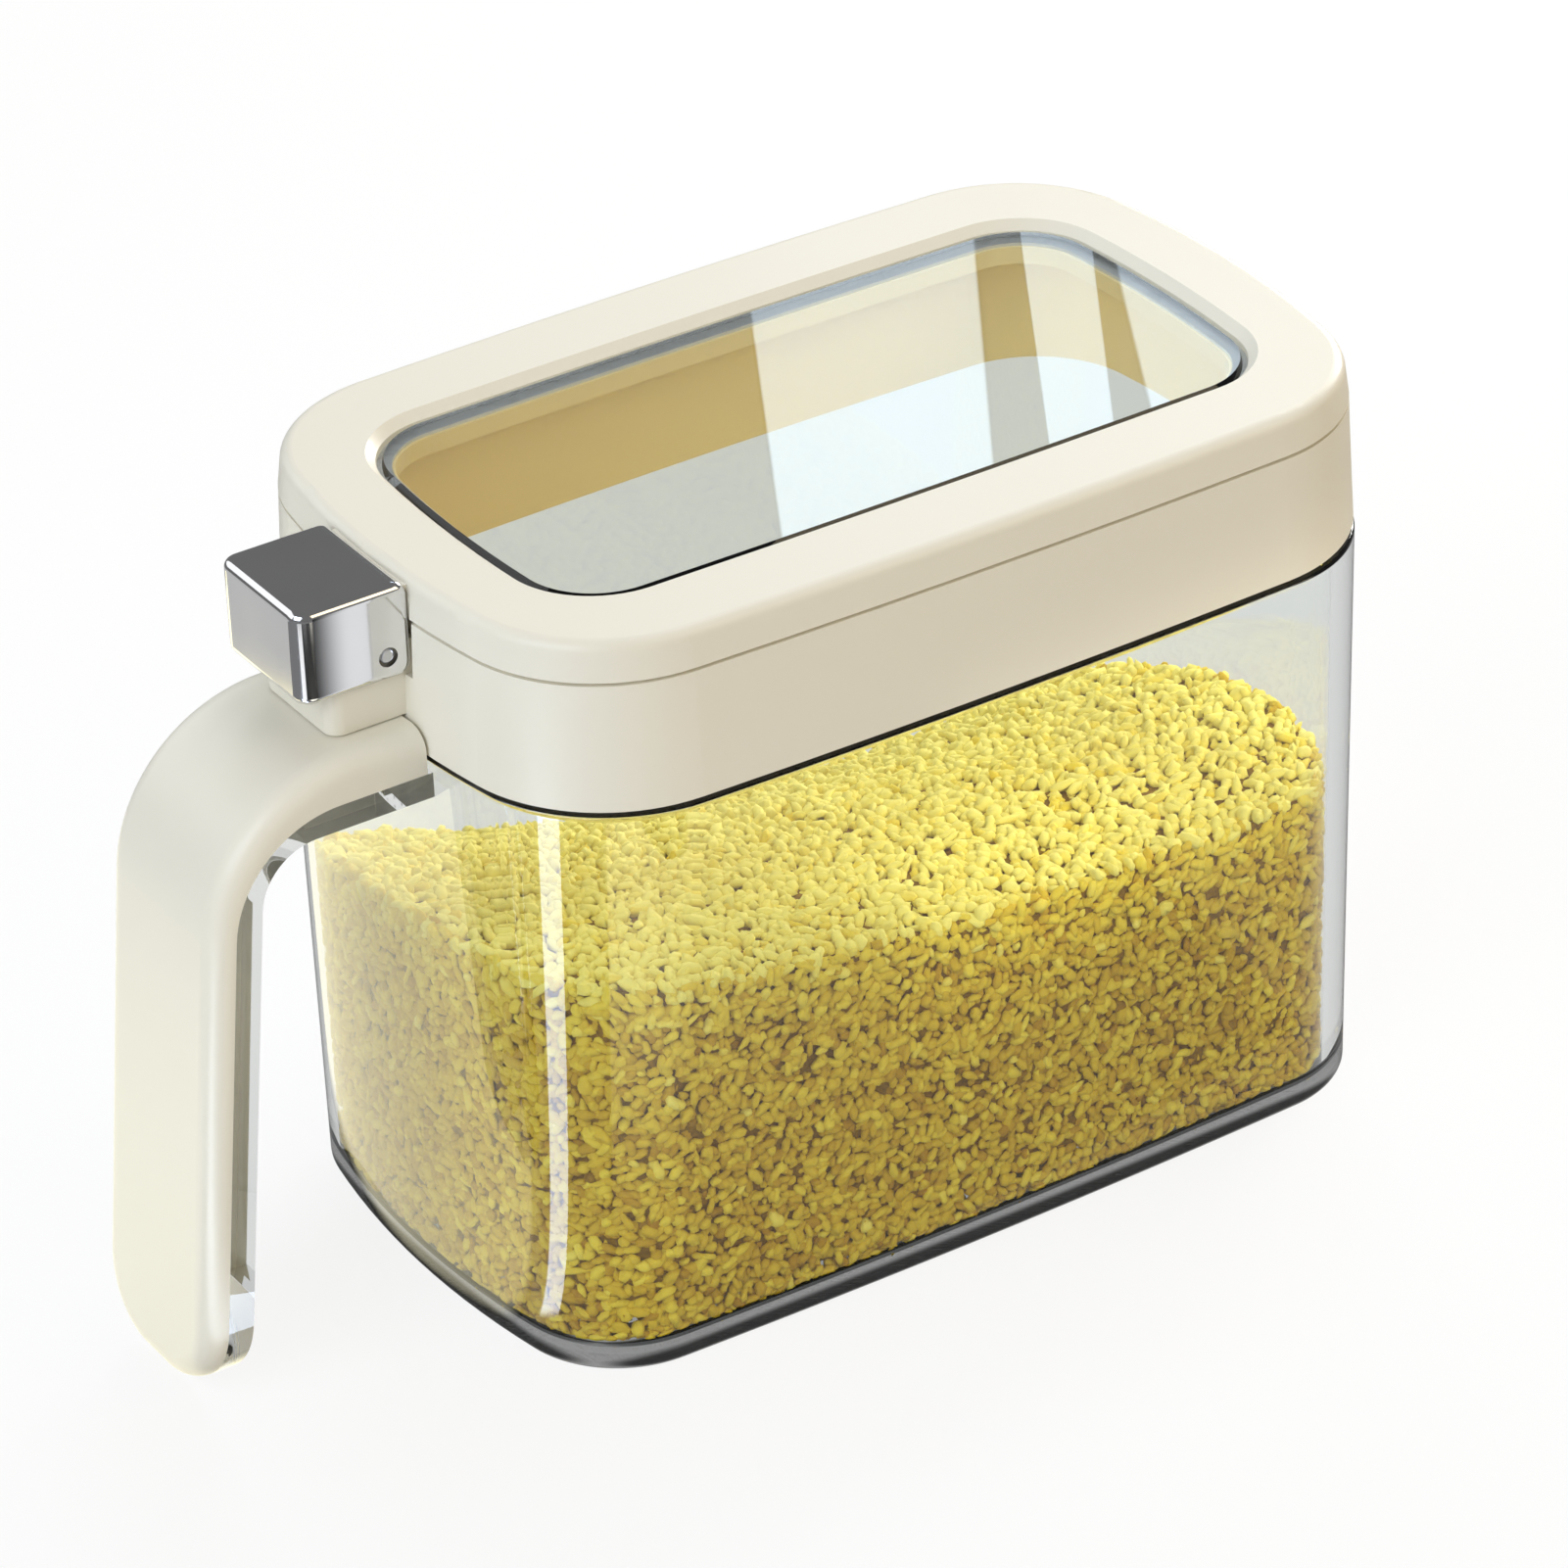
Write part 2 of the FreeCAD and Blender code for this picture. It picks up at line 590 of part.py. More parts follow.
def make_lid_spring():
    # One wire: a leg under the lid's arm, the coil round the pin, a leg on the bracket's floor.
    spring = doc.addObject("Part::Feature", "lid_spring")
    spring.Label = "lid_spring"
    tilt = math.radians(sheet.get("spring_tilt"))
    radius = sheet.get("coil_radius")
    pitch = sheet.get("coil_pitch")
    turns = sheet.get("coil_turns") + (math.pi - tilt) / (2 * math.pi)
    heading = Vector(math.cos(tilt), 0, -math.sin(tilt))
    along = Vector(0, 1, 0)
    outward = heading.cross(along)
    centre = Vector(total(PIN_X), sheet.get("spring_front"), total(PIN_Z))
    frame = Matrix(outward.x, heading.x, along.x, centre.x,
                   outward.y, heading.y, along.y, centre.y,
                   outward.z, heading.z, along.z, centre.z,
                   0, 0, 0, 1)
    coil = Part.makeHelix(pitch, pitch * turns, radius)
    coil.Placement = Placement(frame)
    start = centre + outward * radius
    climb = Vector(along) * pitch
    first = (heading * (2 * math.pi * radius) + climb).normalize()
    last = (Vector(-1, 0, 0) * (2 * math.pi * radius) + climb).normalize()
    end = centre + Vector(0, pitch * turns, -radius)
    upper = Part.makeLine(start - first * sheet.get("spring_upper_leg"), start)
    lower = Part.makeLine(end, end + last * sheet.get("spring_lower_leg"))
    path = Part.Wire([upper] + coil.Edges + [lower])
    tip = start - first * sheet.get("spring_upper_leg")
    ring = Part.Wire(Part.makeCircle(sheet.get("wire_radius"), tip, first))
    spring.Shape = path.makePipeShell([ring], True, True)
    spring.Placement = Placement()
    doc.recompute()
    return spring


def make_lid_frame():
    body = new_body("lid_frame")
    line = SEAM + ["seam_rise"]
    seam = plan_sketch(body, "frame_seam", line, (BAND, ["band_taper"]))
    tapered_pad(body, "frame", seam, ["lid_rise", "-seam_rise"], ["lid_taper"])
    seat = plan_sketch(body, "frame_seat", SEAM, (BAND, ["band_taper", "seam_inset"]))
    pad(body, "frame_seat_pad", seat, ["seam_rise"])
    soften(body, "frame_rounding", lies_at(LID_TOP), ["lid_round"])
    inside = ["band_taper", "lid_pocket_wall"]
    liner = plan_sketch(body, "liner_pocket_plan", SEAM, (BAND, inside))
    pocket_up(body, "liner_pocket", liner, ["lid_rise", "-lid_plate"])
    window = plan_sketch(body, "window_plan", FRAME_UNDER, (WINDOW, ()))
    pocket_up(body, "window", window, ["lid_plate"])
    soften(body, "window_bevel",
           lambda edge: lies_at(LID_TOP)(edge)
           and max(abs(edge.BoundBox.YMin), abs(edge.BoundBox.YMax))
           <= total(WINDOW[1]) + 0.1,
           ["window_slope"], kind="Chamfer")

    recess = new_sketch(body, "XZ_Plane", "recess_side_view")
    block_end = PIN_X + ["block_right"]
    rectangle(recess, PIN_X + ["-block_left"], block_end, SEAM + ["-ledge_drop"], BLOCK_TOP)
    pocket_across(body, "block_recess", recess, ["block_half_width"])
    arm = new_sketch(body, "XZ_Plane", "arm_side_view")
    inner_left = PIN_X + ["-block_left", "block_wall", "arm_play"]
    rectangle(arm, inner_left, BAND_LEFT + ["arm_root"], ARM_UNDER, ARM_TOP)
    pad_across(body, "arm", arm, ["block_half_width", "-block_wall", "-arm_play"])
    web = new_sketch(body, "XZ_Plane", "web_side_view")
    rectangle(web, PIN_X + ["-web_left"], PIN_X + ["boss_radius"], PIN_Z, ARM_UNDER)
    pad_across(body, "web", web, ["hub_front"], ["hub_back"])
    hub = new_sketch(body, "XZ_Plane", "hub_side_view")
    circle(hub, PIN_X, PIN_Z, ["boss_radius"])
    pad_across(body, "hub", hub, ["hub_front"], ["hub_back"])
    bore = new_sketch(body, "XZ_Plane", "hub_bore_side_view")
    circle(bore, PIN_X, PIN_Z, ["pin_radius", "pin_fit"])
    pocket_across(body, "hub_bore", bore, ["block_half_width"])
    return body


def make_lid_liner():
    body = new_body("lid_liner")
    outer = (BAND, ["band_taper", "lid_pocket_wall", "liner_play"])
    inner = (WINDOW, ["liner_lip"])
    ring = plan_sketch(body, "liner_ring", LINER_UNDER, outer, inner)
    pad(body, "liner", ring, ["liner_drop", "lid_rise", "-lid_plate"])
    seat = plan_sketch(body, "liner_seat_plan", LINER_SEAT, (WINDOW, ()))
    pocket_up(body, "liner_seat_cut", seat, FRAME_UNDER + negated(LINER_SEAT))
    return body


def make_window_gasket():
    body = new_body("window_gasket")
    outer = (WINDOW, ["pane_play"])
    inner = (WINDOW, ["gasket_width"])
    ring = plan_sketch(body, "gasket_ring", LINER_SEAT, outer, inner)
    pad(body, "gasket", ring, PANE_UNDER + negated(LINER_SEAT))
    return body


def make_lid_window():
    body = new_body("lid_window")
    plan = plan_sketch(body, "pane_plan", PANE_UNDER, (WINDOW, ["pane_play"]))
    pad(body, "pane", plan, ["pane_thickness"])
    soften(body, "pane_edge", lies_at(PANE_TOP), ["pane_bevel"], kind="Chamfer")
    return body


def make_lid_seal():
    body = new_body("lid_seal")
    outer = (BAND, ["band_taper", "lid_pocket_wall", "liner_play"])
    inner = (BAND, ["band_taper", "lid_pocket_wall", "liner_play", "lid_seal_width"])
    ring = plan_sketch(body, "lid_seal_ring", LEDGE, outer, inner)
    pad(body, "lid_seal_pad", ring, ["ledge_drop", "-liner_drop"])
    return body


def make_lever_cap():
    body = new_body("lever_cap")
    side = new_sketch(body, "XZ_Plane", "block_side_view")
    left = PIN_X + ["-block_left"]
    right = PIN_X + ["block_right"]
    foot = PIN_Z + ["-block_drop"]
    rectangle(side, left, right, foot, BLOCK_TOP)
    pad_across(body, "block", side, ["block_half_width"])
    far_left = total(left)
    far_right = total(right)
    top = total(BLOCK_TOP)
    half_width = total(["block_half_width"])
    soften(body, "block_noses",
           lambda edge: near(edge.BoundBox.XMin, far_right)
           and near(edge.BoundBox.ZMin, edge.BoundBox.ZMax), ["block_nose"])
    soften(body, "block_uprights",
           lambda edge: near(edge.BoundBox.XMax, far_left)
           and near(edge.BoundBox.YMin, edge.BoundBox.YMax)
           and near(abs(edge.BoundBox.YMin), half_width), ["block_upright"])
    soften(body, "block_top_edges",
           lambda edge: near(edge.BoundBox.ZMin, top) and near(edge.BoundBox.ZMax, top)
           and not near(edge.BoundBox.XMin, far_right - total(["block_nose"])),
           ["block_top_round"])
    hollow = new_sketch(body, "XZ_Plane", "hollow_side_view")
    rectangle(hollow, left + ["block_wall"], right + ["block_nose"], foot + ["-block_wall"],
              BLOCK_TOP + ["-block_wall"])
    pocket_across(body, "block_hollow", hollow, ["block_half_width", "-block_wall"])
    hole = new_sketch(body, "XZ_Plane", "hole_side_view")
    circle(hole, PIN_X, PIN_Z, ["pin_radius", "block_hole_play"])
    pocket_across(body, "block_hole", hole, ["block_half_width", "block_wall"])
    return body


def strap(sketch, outer, inner, foot):
    # Side view of a strap: arm, bend and leaning grip, between an outer and an inner line.
    # Each line is given by its level, its reach at the tip and its bend radius.
    lean = math.radians(sheet.get("handle_lean"))
    end_x = total(HANDLE_ROOT)
    foot_z = total(foot)
    tip_z = total(["tip_level"])
    along = Vector(math.sin(lean), math.cos(lean), 0)

    def bend(level, reach, radius):
        height, left, turn = total(level), -total(reach), total(radius)
        run = (height - turn - tip_z + turn * math.sin(lean)) / math.cos(lean)
        touch = Vector(left, tip_z, 0) + along * run
        centre = Vector(touch.x + turn * math.cos(lean), height - turn, 0)
        low = Vector(left, tip_z, 0) + along * ((foot_z - tip_z) / math.cos(lean))
        top = Vector(centre.x, height, 0)
        shape = Part.Circle(centre, Vector(0, 0, 1), turn)
        arc = sketch.addGeometry(Part.ArcOfCircle(shape, math.pi / 2, math.pi - lean), False)
        grip = sketch.addGeometry(Part.LineSegment(low, touch), False)
        arm = sketch.addGeometry(Part.LineSegment(Vector(end_x, height, 0), top), False)
        sketch.addConstraint(Sketcher.Constraint("Horizontal", arm))
        sketch.addConstraint(Sketcher.Constraint("Tangent", arm, 2, arc, 1))
        sketch.addConstraint(Sketcher.Constraint("Tangent", arc, 2, grip, 2))
        bind(sketch, Sketcher.Constraint("Radius", arc, turn), radius)
        angle = sketch.addConstraint(Sketcher.Constraint("Angle", grip, math.pi / 2 - lean))
        sketch.setExpression("Constraints[%d]" % angle, "90 - sizes.handle_lean")
        place(sketch, arm, 1, "Y", level)
        # The reach is measured at the tip, on the grip's own line.
        mark = sketch.addGeometry(Part.Point(Vector(left, tip_z, 0)), True)
        sketch.addConstraint(Sketcher.Constraint("PointOnObject", mark, 1, grip))
        place(sketch, mark, 1, "X", negated(reach))
        place(sketch, mark, 1, "Y", ["tip_level"])
        return arm, grip, low

    outer_arm, outer_grip, outer_low = bend(*outer)
    inner_arm, inner_grip, inner_low = bend(*inner)
    end = Part.LineSegment(Vector(end_x, total(outer[0]), 0), Vector(end_x, total(inner[0]), 0))
    closing = sketch.addGeometry(end, False)
    tip = sketch.addGeometry(Part.LineSegment(outer_low, inner_low), False)
    for one, first, two, second in ((closing, 1, outer_arm, 1), (closing, 2, inner_arm, 1),
                                    (tip, 1, outer_grip, 1), (tip, 2, inner_grip, 1)):
        sketch.addConstraint(Sketcher.Constraint("Coincident", one, first, two, second))
    sketch.addConstraint(Sketcher.Constraint("Vertical", closing))
    sketch.addConstraint(Sketcher.Constraint("Horizontal", tip))
    place(sketch, closing, 1, "X", HANDLE_ROOT)
    place(sketch, tip, 1, "Y", foot)


HANDLE_ROOT = ["-rim_half_length", "handle_root"]
OUTER_LINE = (["arm_level"], ["handle_reach"], ["outer_bend"])
COVER_LINE = (["arm_level", "-cover_arm_depth"], ["handle_reach", "-cover_depth"],
              ["cover_bend"])
INNER_LINE = (["arm_level", "-arm_depth"], ["handle_reach", "-grip_depth"], ["inner_bend"])


def inside_line(line, wall):
    # The same line, moved inwards by a wall thickness.
    level, reach, radius = line
    less = negated(wall)
    return level + less, reach + less, radius + less


def round_tip(body, name):
    # Rounds the two lower corners of the strap, seen from the handle's side.
    low = total(["tip_level"])
    half_width = total(["handle_half_width"])
    soften(body, name,
           lambda edge: near(edge.BoundBox.ZMax, low)
           and near(edge.BoundBox.YMin, edge.BoundBox.YMax)
           and near(abs(edge.BoundBox.YMin), half_width), ["tip_round"])


def make_handle_cover():
    body = new_body("handle_cover")
    side = new_sketch(body, "XZ_Plane", "cover_side_view")
    strap(side, OUTER_LINE, COVER_LINE, ["tip_level"])
    pad_across(body, "cover", side, ["handle_half_width"])
    round_tip(body, "cover_tip")
    end = plan_sketch(body, "cover_end_plan", (), (BAND, ["-collar_play"]))
    pocket_up(body, "cover_end", end, SEAM)
    level = total(["arm_level"])
    reach = total(["handle_reach"])
    lean = math.tan(math.radians(sheet.get("handle_lean")))
    bend_x = total(["outer_bend"]) - reach + lean * level

    def on_outer_rim(edge):
        # Edges of the outer face: on the arm's top, along the bend, or on the grip's line.
        points = edge.discretize(5)[1:-1]
        if near(points[0].y, points[-1].y) and near(edge.BoundBox.XMax, edge.BoundBox.XMin):
            return False
        for point in points:
            on_arm = near(point.z, level) and point.x > bend_x - 1
            on_grip = near(point.x, (point.z - total(["tip_level"])) * lean - reach)
            centre_x, centre_z = bend_centre
            on_bend = near(math.hypot(point.x - centre_x, point.z - centre_z),
                           total(["outer_bend"]))
            if not (on_arm or on_grip or on_bend):
                return False
        return not near(edge.BoundBox.XMax, edge_end)

    arc = next(item for item in side.Geometry if item.TypeId == "Part::GeomArcOfCircle"
               and near(item.Radius, total(["outer_bend"])))
    bend_centre = (arc.Center.x, arc.Center.y)
    edge_end = body.Shape.BoundBox.XMax
    soften(body, "cover_rounding", on_outer_rim, ["cover_round"])
    channel = new_sketch(body, "XZ_Plane", "channel_side_view")
    strap(channel, inside_line(OUTER_LINE, ["cover_wall"]), COVER_LINE,
          ["tip_level", "tongue_stop"])
    pocket_across(body, "channel", channel, ["handle_half_width", "-cover_wall"])
    return body


def make_handle_core():
    body = new_body("handle_core")
    side = new_sketch(body, "XZ_Plane", "core_side_view")
    strap(side, COVER_LINE, INNER_LINE, ["tip_level"])
    pad_across(body, "core", side, ["handle_half_width"])
    round_tip(body, "core_tip")
    tongue = new_sketch(body, "XZ_Plane", "tongue_side_view")
    strap(tongue, inside_line(OUTER_LINE, ["cover_wall", "tongue_play"]), COVER_LINE,
          ["tip_level", "tongue_stop", "tongue_play"])
    pad_across(body, "tongue", tongue, ["handle_half_width", "-cover_wall", "-tongue_play"])
    end = plan_sketch(body, "core_end_plan", (), (RIM, ()))
    pocket_up(body, "core_end", end, ["rim_level"])
    upper = plan_sketch(body, "core_top_plan", ["rim_level"], (BAND, ["-collar_play"]))
    pocket_up(body, "core_top", upper, ["joint_gap", "band_rise"])
    return body


def check(parts):
    for item in doc.Objects:
        if "Invalid" in item.State or "Error" in item.State:
            raise RuntimeError("%s: %s" % (item.Name, item.State))
    for part in parts:
        if part.Shape.isNull() or not part.Shape.isValid():
            raise RuntimeError(part.Label + " has no valid shape")
        if len(part.Shape.Solids) != 1:
            raise RuntimeError("%s has %d solids" % (part.Label, len(part.Shape.Solids)))


def main():
    makers = [make_jar_body, make_fill, make_handle_core, make_handle_cover, make_jar_seal,
              make_collar, make_hinge_pin, make_lid_spring, make_lid_frame, make_lid_liner,
              make_window_gasket, make_lid_window, make_lid_seal, make_lever_cap]
    parts = [maker() for maker in makers]
    doc.recompute()
    check(parts)
    os.makedirs("parts", exist_ok=True)
    for part in parts:
        part.Shape.exportStep("parts/%s.step" % part.Label)
        box = part.Shape.BoundBox
        print("%-14s volume %9.1f  X %.2f..%.2f  Y %.2f..%.2f  Z %.2f..%.2f" % (
            part.Label, part.Shape.Volume, box.XMin, box.XMax, box.YMin, box.YMax,
            box.ZMin, box.ZMax))


main()
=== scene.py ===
import math
import bpy
import numpy as np
from mathutils import Matrix, Vector


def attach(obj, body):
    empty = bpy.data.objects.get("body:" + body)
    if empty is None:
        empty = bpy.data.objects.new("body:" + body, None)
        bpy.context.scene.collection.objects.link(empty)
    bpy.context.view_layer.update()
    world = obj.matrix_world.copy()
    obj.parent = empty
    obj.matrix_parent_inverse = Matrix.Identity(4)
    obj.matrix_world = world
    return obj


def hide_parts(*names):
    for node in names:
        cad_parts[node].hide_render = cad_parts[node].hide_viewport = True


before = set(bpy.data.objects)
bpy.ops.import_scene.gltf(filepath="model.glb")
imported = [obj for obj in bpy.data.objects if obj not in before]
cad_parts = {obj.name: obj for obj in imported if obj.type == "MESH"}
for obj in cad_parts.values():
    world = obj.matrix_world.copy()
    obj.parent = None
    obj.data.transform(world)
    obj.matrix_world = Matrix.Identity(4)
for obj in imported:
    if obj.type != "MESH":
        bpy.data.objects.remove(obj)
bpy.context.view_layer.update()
mm = 0.001
random = np.random.default_rng(41)
scene = bpy.context.scene


class Wire:
    # a socket that takes part in sums; every sum adds one Math node
    def __init__(self, finish, socket):
        self.finish, self.socket = finish, socket

    def maths(self, operation, *values):
        sockets = dict(enumerate(values))
        return self.finish.node("ShaderNodeMath", {"operation": operation}, sockets)

    def __add__(self, other): return self.maths("ADD", self, other)
    def __radd__(self, other): return self.maths("ADD", other, self)
    def __sub__(self, other): return self.maths("SUBTRACT", self, other)
    def __rsub__(self, other): return self.maths("SUBTRACT", other, self)
    def __mul__(self, other): return self.maths("MULTIPLY", self, other)
    def __rmul__(self, other): return self.maths("MULTIPLY", other, self)
    def __truediv__(self, other): return self.maths("DIVIDE", self, other)
    def __pow__(self, other): return self.maths("POWER", self, other)
    def above(self, other): return self.maths("GREATER_THAN", self, other)
    def least(self, other): return self.maths("MINIMUM", self, other)
    def most(self, other): return self.maths("MAXIMUM", self, other)
    def size(self): return self.maths("ABSOLUTE", self)


class Finish:
    # one material, or the world, with the nodes that make it
    def __init__(self, name, tree=None):
        if tree is None:
            self.material = bpy.data.materials.new(name)
            self.material.use_nodes = True
            tree = self.material.node_tree
        self.tree = tree
        tree.nodes.clear()

    def node(self, kind, settings=None, sockets=None, out=0):
        made = self.tree.nodes.new(kind)
        for name, value in (settings or {}).items():
            if name == "stops":
                ramp = made.color_ramp
                while len(ramp.elements) < len(value):
                    ramp.elements.new(0.5)
                for stop, (place, colour) in zip(ramp.elements, value):
                    stop.position, stop.color = place, (*colour, 1)
            else:
                setattr(made, name, value)
        for name, value in (sockets or {}).items():
            if isinstance(value, Wire):
                self.tree.links.new(value.socket, made.inputs[name])
            elif isinstance(value, tuple) and made.inputs[name].type == "RGBA":
                made.inputs[name].default_value = (*value, 1)
            else:
                made.inputs[name].default_value = value
        return Wire(self, made.outputs[out]) if made.outputs else None

    def outputs(self, wire, *names):
        # other outputs of the node that a wire leaves
        return [Wire(self, wire.socket.node.outputs[name]) for name in names]

    def place(self):
        return self.node("ShaderNodeTexCoord", out="Object")

    def axes(self, vector):
        return self.outputs(self.node("ShaderNodeSeparateXYZ", None, {0: vector}), 0, 1, 2)

    def noise(self, vector, scale, detail=2.0):
        return self.node("ShaderNodeTexNoise", None, {
            "Vector": vector, "Scale": scale, "Detail": detail})

    def step(self, value, low, high):
        return self.node("ShaderNodeMapRange", {"interpolation_type": "SMOOTHSTEP"}, {
            "Value": value, "From Min": low, "From Max": high})

    def mix(self, factor, first, second):
        return self.node("ShaderNodeMix", {"data_type": "RGBA"}, {
            "Factor": factor, "A": first, "B": second}, out=2)

    def either(self, factor, first, second):
        # Mix Shader has two sockets of one name, so they are given by number
        return self.node("ShaderNodeMixShader", None, {0: factor, 1: first, 2: second})

    def bump(self, height, strength, distance):
        return self.node("ShaderNodeBump", None, {
            "Height": height, "Strength": strength, "Distance": distance})

    def surface(self, **sockets):
        return self.node("ShaderNodeBsdfPrincipled", None, {
            name.replace("_", " "): value for name, value in sockets.items()})

    def done(self, shader):
        self.node("ShaderNodeOutputMaterial", None, {"Surface": shader})
        return self.material


# noise scales are cells per metre; mouth is half the opening's length, half its width, and
# its top, in metres
creamFinish = {"colour": (0.83, 0.79, 0.66), "shade": (0.81, 0.765, 0.63), "cloud": 22.0,
               "roughness": 0.36, "roughVary": 0.06, "ior": 1.5, "coat": 0.06,
               "coatRoughness": 0.12, "grain": 900.0, "grainStrength": 0.25,
               "grainDepth": 0.00001, "mouth": (0.0600, 0.0318, 0.0985), "mouthPower": 7}
# painted shade for the inside of the mouth and for the whole liner: gold-brown, lighter
# from left to right over reach either side of the middle, in metres
mouthShadeFinish = {"left": (0.86, 0.65, 0.28), "right": (0.92, 0.75, 0.38), "reach": 0.06}


def makeShell(name, shadeOnly=False):
    # cream plastic; the inside of the mouth, or a whole piece, is painted a deeper
    # gold-brown as painted shade, lighter towards +X
    own = Finish(name)
    place = own.place()
    cloudy = own.noise(place, creamFinish["cloud"], 3.0)
    grain = own.noise(place, creamFinish["grain"])
    x, y, z = own.axes(place)
    reach = mouthShadeFinish["reach"]
    colour = own.mix(own.step(x, -reach, reach), mouthShadeFinish["left"], mouthShadeFinish["right"])
    if not shadeOnly:
        long, wide, top = creamFinish["mouth"]
        power = creamFinish["mouthPower"]
        outside = ((x.size() / long) ** power + (y.size() / wide) ** power).above(1.0)
        shell = own.mix(cloudy, creamFinish["shade"], creamFinish["colour"])
        # painted shade: inside the mouth and below its top, the gold-brown replaces the
        # cream
        colour = own.mix(outside.most(z.above(top)), colour, shell)
    rough = creamFinish["roughness"] + (cloudy - 0.5) * creamFinish["roughVary"]
    return own.done(own.surface(
        Base_Color=colour, Roughness=rough, IOR=creamFinish["ior"],
        Coat_Weight=creamFinish["coat"], Coat_Roughness=creamFinish["coatRoughness"],
        Normal=own.bump(grain, creamFinish["grainStrength"], creamFinish["grainDepth"])))


chromeFinish = {"colour": (0.80, 0.80, 0.81), "smeared": (0.74, 0.74, 0.75), "smear": 120.0,
                "roughness": 0.09, "roughVary": 0.05}


def makeChrome():
    own = Finish("brightChrome")
    smear = own.noise(own.place(), chromeFinish["smear"], 3.0)
    colour = own.mix(smear, chromeFinish["smeared"], chromeFinish["colour"])
    rough = chromeFinish["roughness"] + (smear - 0.5) * chromeFinish["roughVary"]
    return own.done(own.surface(Base_Color=colour, Metallic=1.0, Roughness=rough))


steelFinish = {"dark": (0.50, 0.50, 0.51), "light": (0.66, 0.66, 0.67),
               "drawn": (900.0, 60.0, 900.0), "roughness": 0.24, "roughVary": 0.1}


def makeSteel():
    # fine lines along Y, the way that the pin was drawn
    own = Finish("pinSteel")
    stretched = own.node("ShaderNodeMapping", None, {
        "Vector": own.place(), "Scale": steelFinish["drawn"]})
    drawn = own.noise(stretched, 1.0)
    colour = own.mix(drawn, steelFinish["dark"], steelFinish["light"])
    rough = steelFinish["roughness"] + drawn * steelFinish["roughVary"]
    return own.done(own.surface(Base_Color=colour, Metallic=1.0, Roughness=rough))


siliconeFinish = {"dark": (0.60, 0.59, 0.54), "light": (0.70, 0.69, 0.64), "cloud": 60.0,
                  "roughness": 0.55, "roughVary": 0.1}


def makeSilicone():
    own = Finish("softSilicone")
    cloudy = own.noise(own.place(), siliconeFinish["cloud"])
    colour = own.mix(cloudy, siliconeFinish["dark"], siliconeFinish["light"])
    rough = siliconeFinish["roughness"] + cloudy * siliconeFinish["roughVary"]
    return own.done(own.surface(Base_Color=colour, Roughness=rough))


clearFinish = {"jar": (0.965, 0.985, 0.975), "pane": (0.86, 0.89, 0.855), "ior": 1.49,
               "faint": 30.0, "roughVary": 0.004}


def makeClear(name, colour):
    # clear plastic that bends what is seen through it; light for shadows passes straight
    own = Finish(name)
    faint = own.noise(own.place(), clearFinish["faint"])
    shine = own.surface(Base_Color=colour, Roughness=faint * clearFinish["roughVary"],
                        IOR=clearFinish["ior"], Transmission_Weight=1.0)
    through = own.node("ShaderNodeBsdfTransparent", None, {"Color": (1.0, 1.0, 1.0)})
    shadow = own.node("ShaderNodeLightPath", out="Is Shadow Ray")
    return own.done(own.either(shadow, shine, through))


# the stops go from the painted shade of the gaps between grains to the palest grains, whose
# brightest yellow is partly painted light
grainFinish = {"stops": [(0.0, (0.09, 0.045, 0.003)), (0.22, (0.50, 0.27, 0.008)),
                         (0.48, (0.74, 0.51, 0.025)), (0.75, (0.90, 0.71, 0.060)),
                         (1.0, (0.98, 0.87, 0.20))],
               "speckle": 1400.0, "speckleTone": 0.25, "speckleStrength": 0.4,
               "speckleDepth": 0.00012, "roughness": 0.68, "shine": 0.16}


def makeGrain():
    own = Finish("yellowGrain")
    tone = own.node("ShaderNodeAttribute", {"attribute_name": "tone"}, out="Fac")
    speckle = own.noise(own.place(), grainFinish["speckle"], 3.0)
    colour = own.node("ShaderNodeValToRGB", {"stops": grainFinish["stops"]},
                      {"Fac": tone + (speckle - 0.5) * grainFinish["speckleTone"]})
    relief = own.bump(speckle, grainFinish["speckleStrength"], grainFinish["speckleDepth"])
    return own.done(own.surface(
        Base_Color=colour, Roughness=grainFinish["roughness"],
        Specular_IOR_Level=grainFinish["shine"], Normal=relief))


cream = makeShell("creamPlastic")
shadeTan = makeShell("tanPaintedShade", shadeOnly=True)
chrome = makeChrome()
steel = makeSteel()
silicone = makeSilicone()
clearJar = makeClear("clearJar", clearFinish["jar"])
clearPane = makeClear("clearPane", clearFinish["pane"])
grain = makeGrain()
print("finishes made")


def dress(material, *nodes):
    # gives carried-over CAD nodes their finish
    for name in nodes:
        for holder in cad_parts[name].material_slots:
            holder.material = material


dress(cream, "collar", "lid_frame", "handle_cover")
dress(shadeTan, "lid_liner")
dress(chrome, "lever_cap")
dress(steel, "hinge_pin", "lid_spring")
dress(silicone, "jar_seal", "lid_seal", "window_gasket")
dress(clearJar, "handle_core")
dress(clearPane, "lid_window")


def putMesh(name, points, faces, material, body, slot, *nodes):
    # one piece from its points and faces, riding on a body and standing for CAD nodes
    mesh = bpy.data.meshes.new(name)
    mesh.from_pydata(points.tolist(), [], faces)
    mesh.polygons.foreach_set("use_smooth", np.full(len(mesh.polygons), True))
    mesh.materials.append(material)
    mesh.update()
    piece = bpy.data.objects.new(name, mesh)
    scene.collection.objects.link(piece)
    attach(piece, body)
    if nodes:
        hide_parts(*nodes)
    return piece


def putTone(piece, values):
    # the value that the grain's colours go by, at each point
    tone = piece.data.attributes.new("tone", "FLOAT", "POINT")
    tone.data.foreach_set("value", values.astype(np.float32))


# points on the arcs of an end, a corner and a side, in one quarter of a ring
arcPoints = (7, 22, 15)


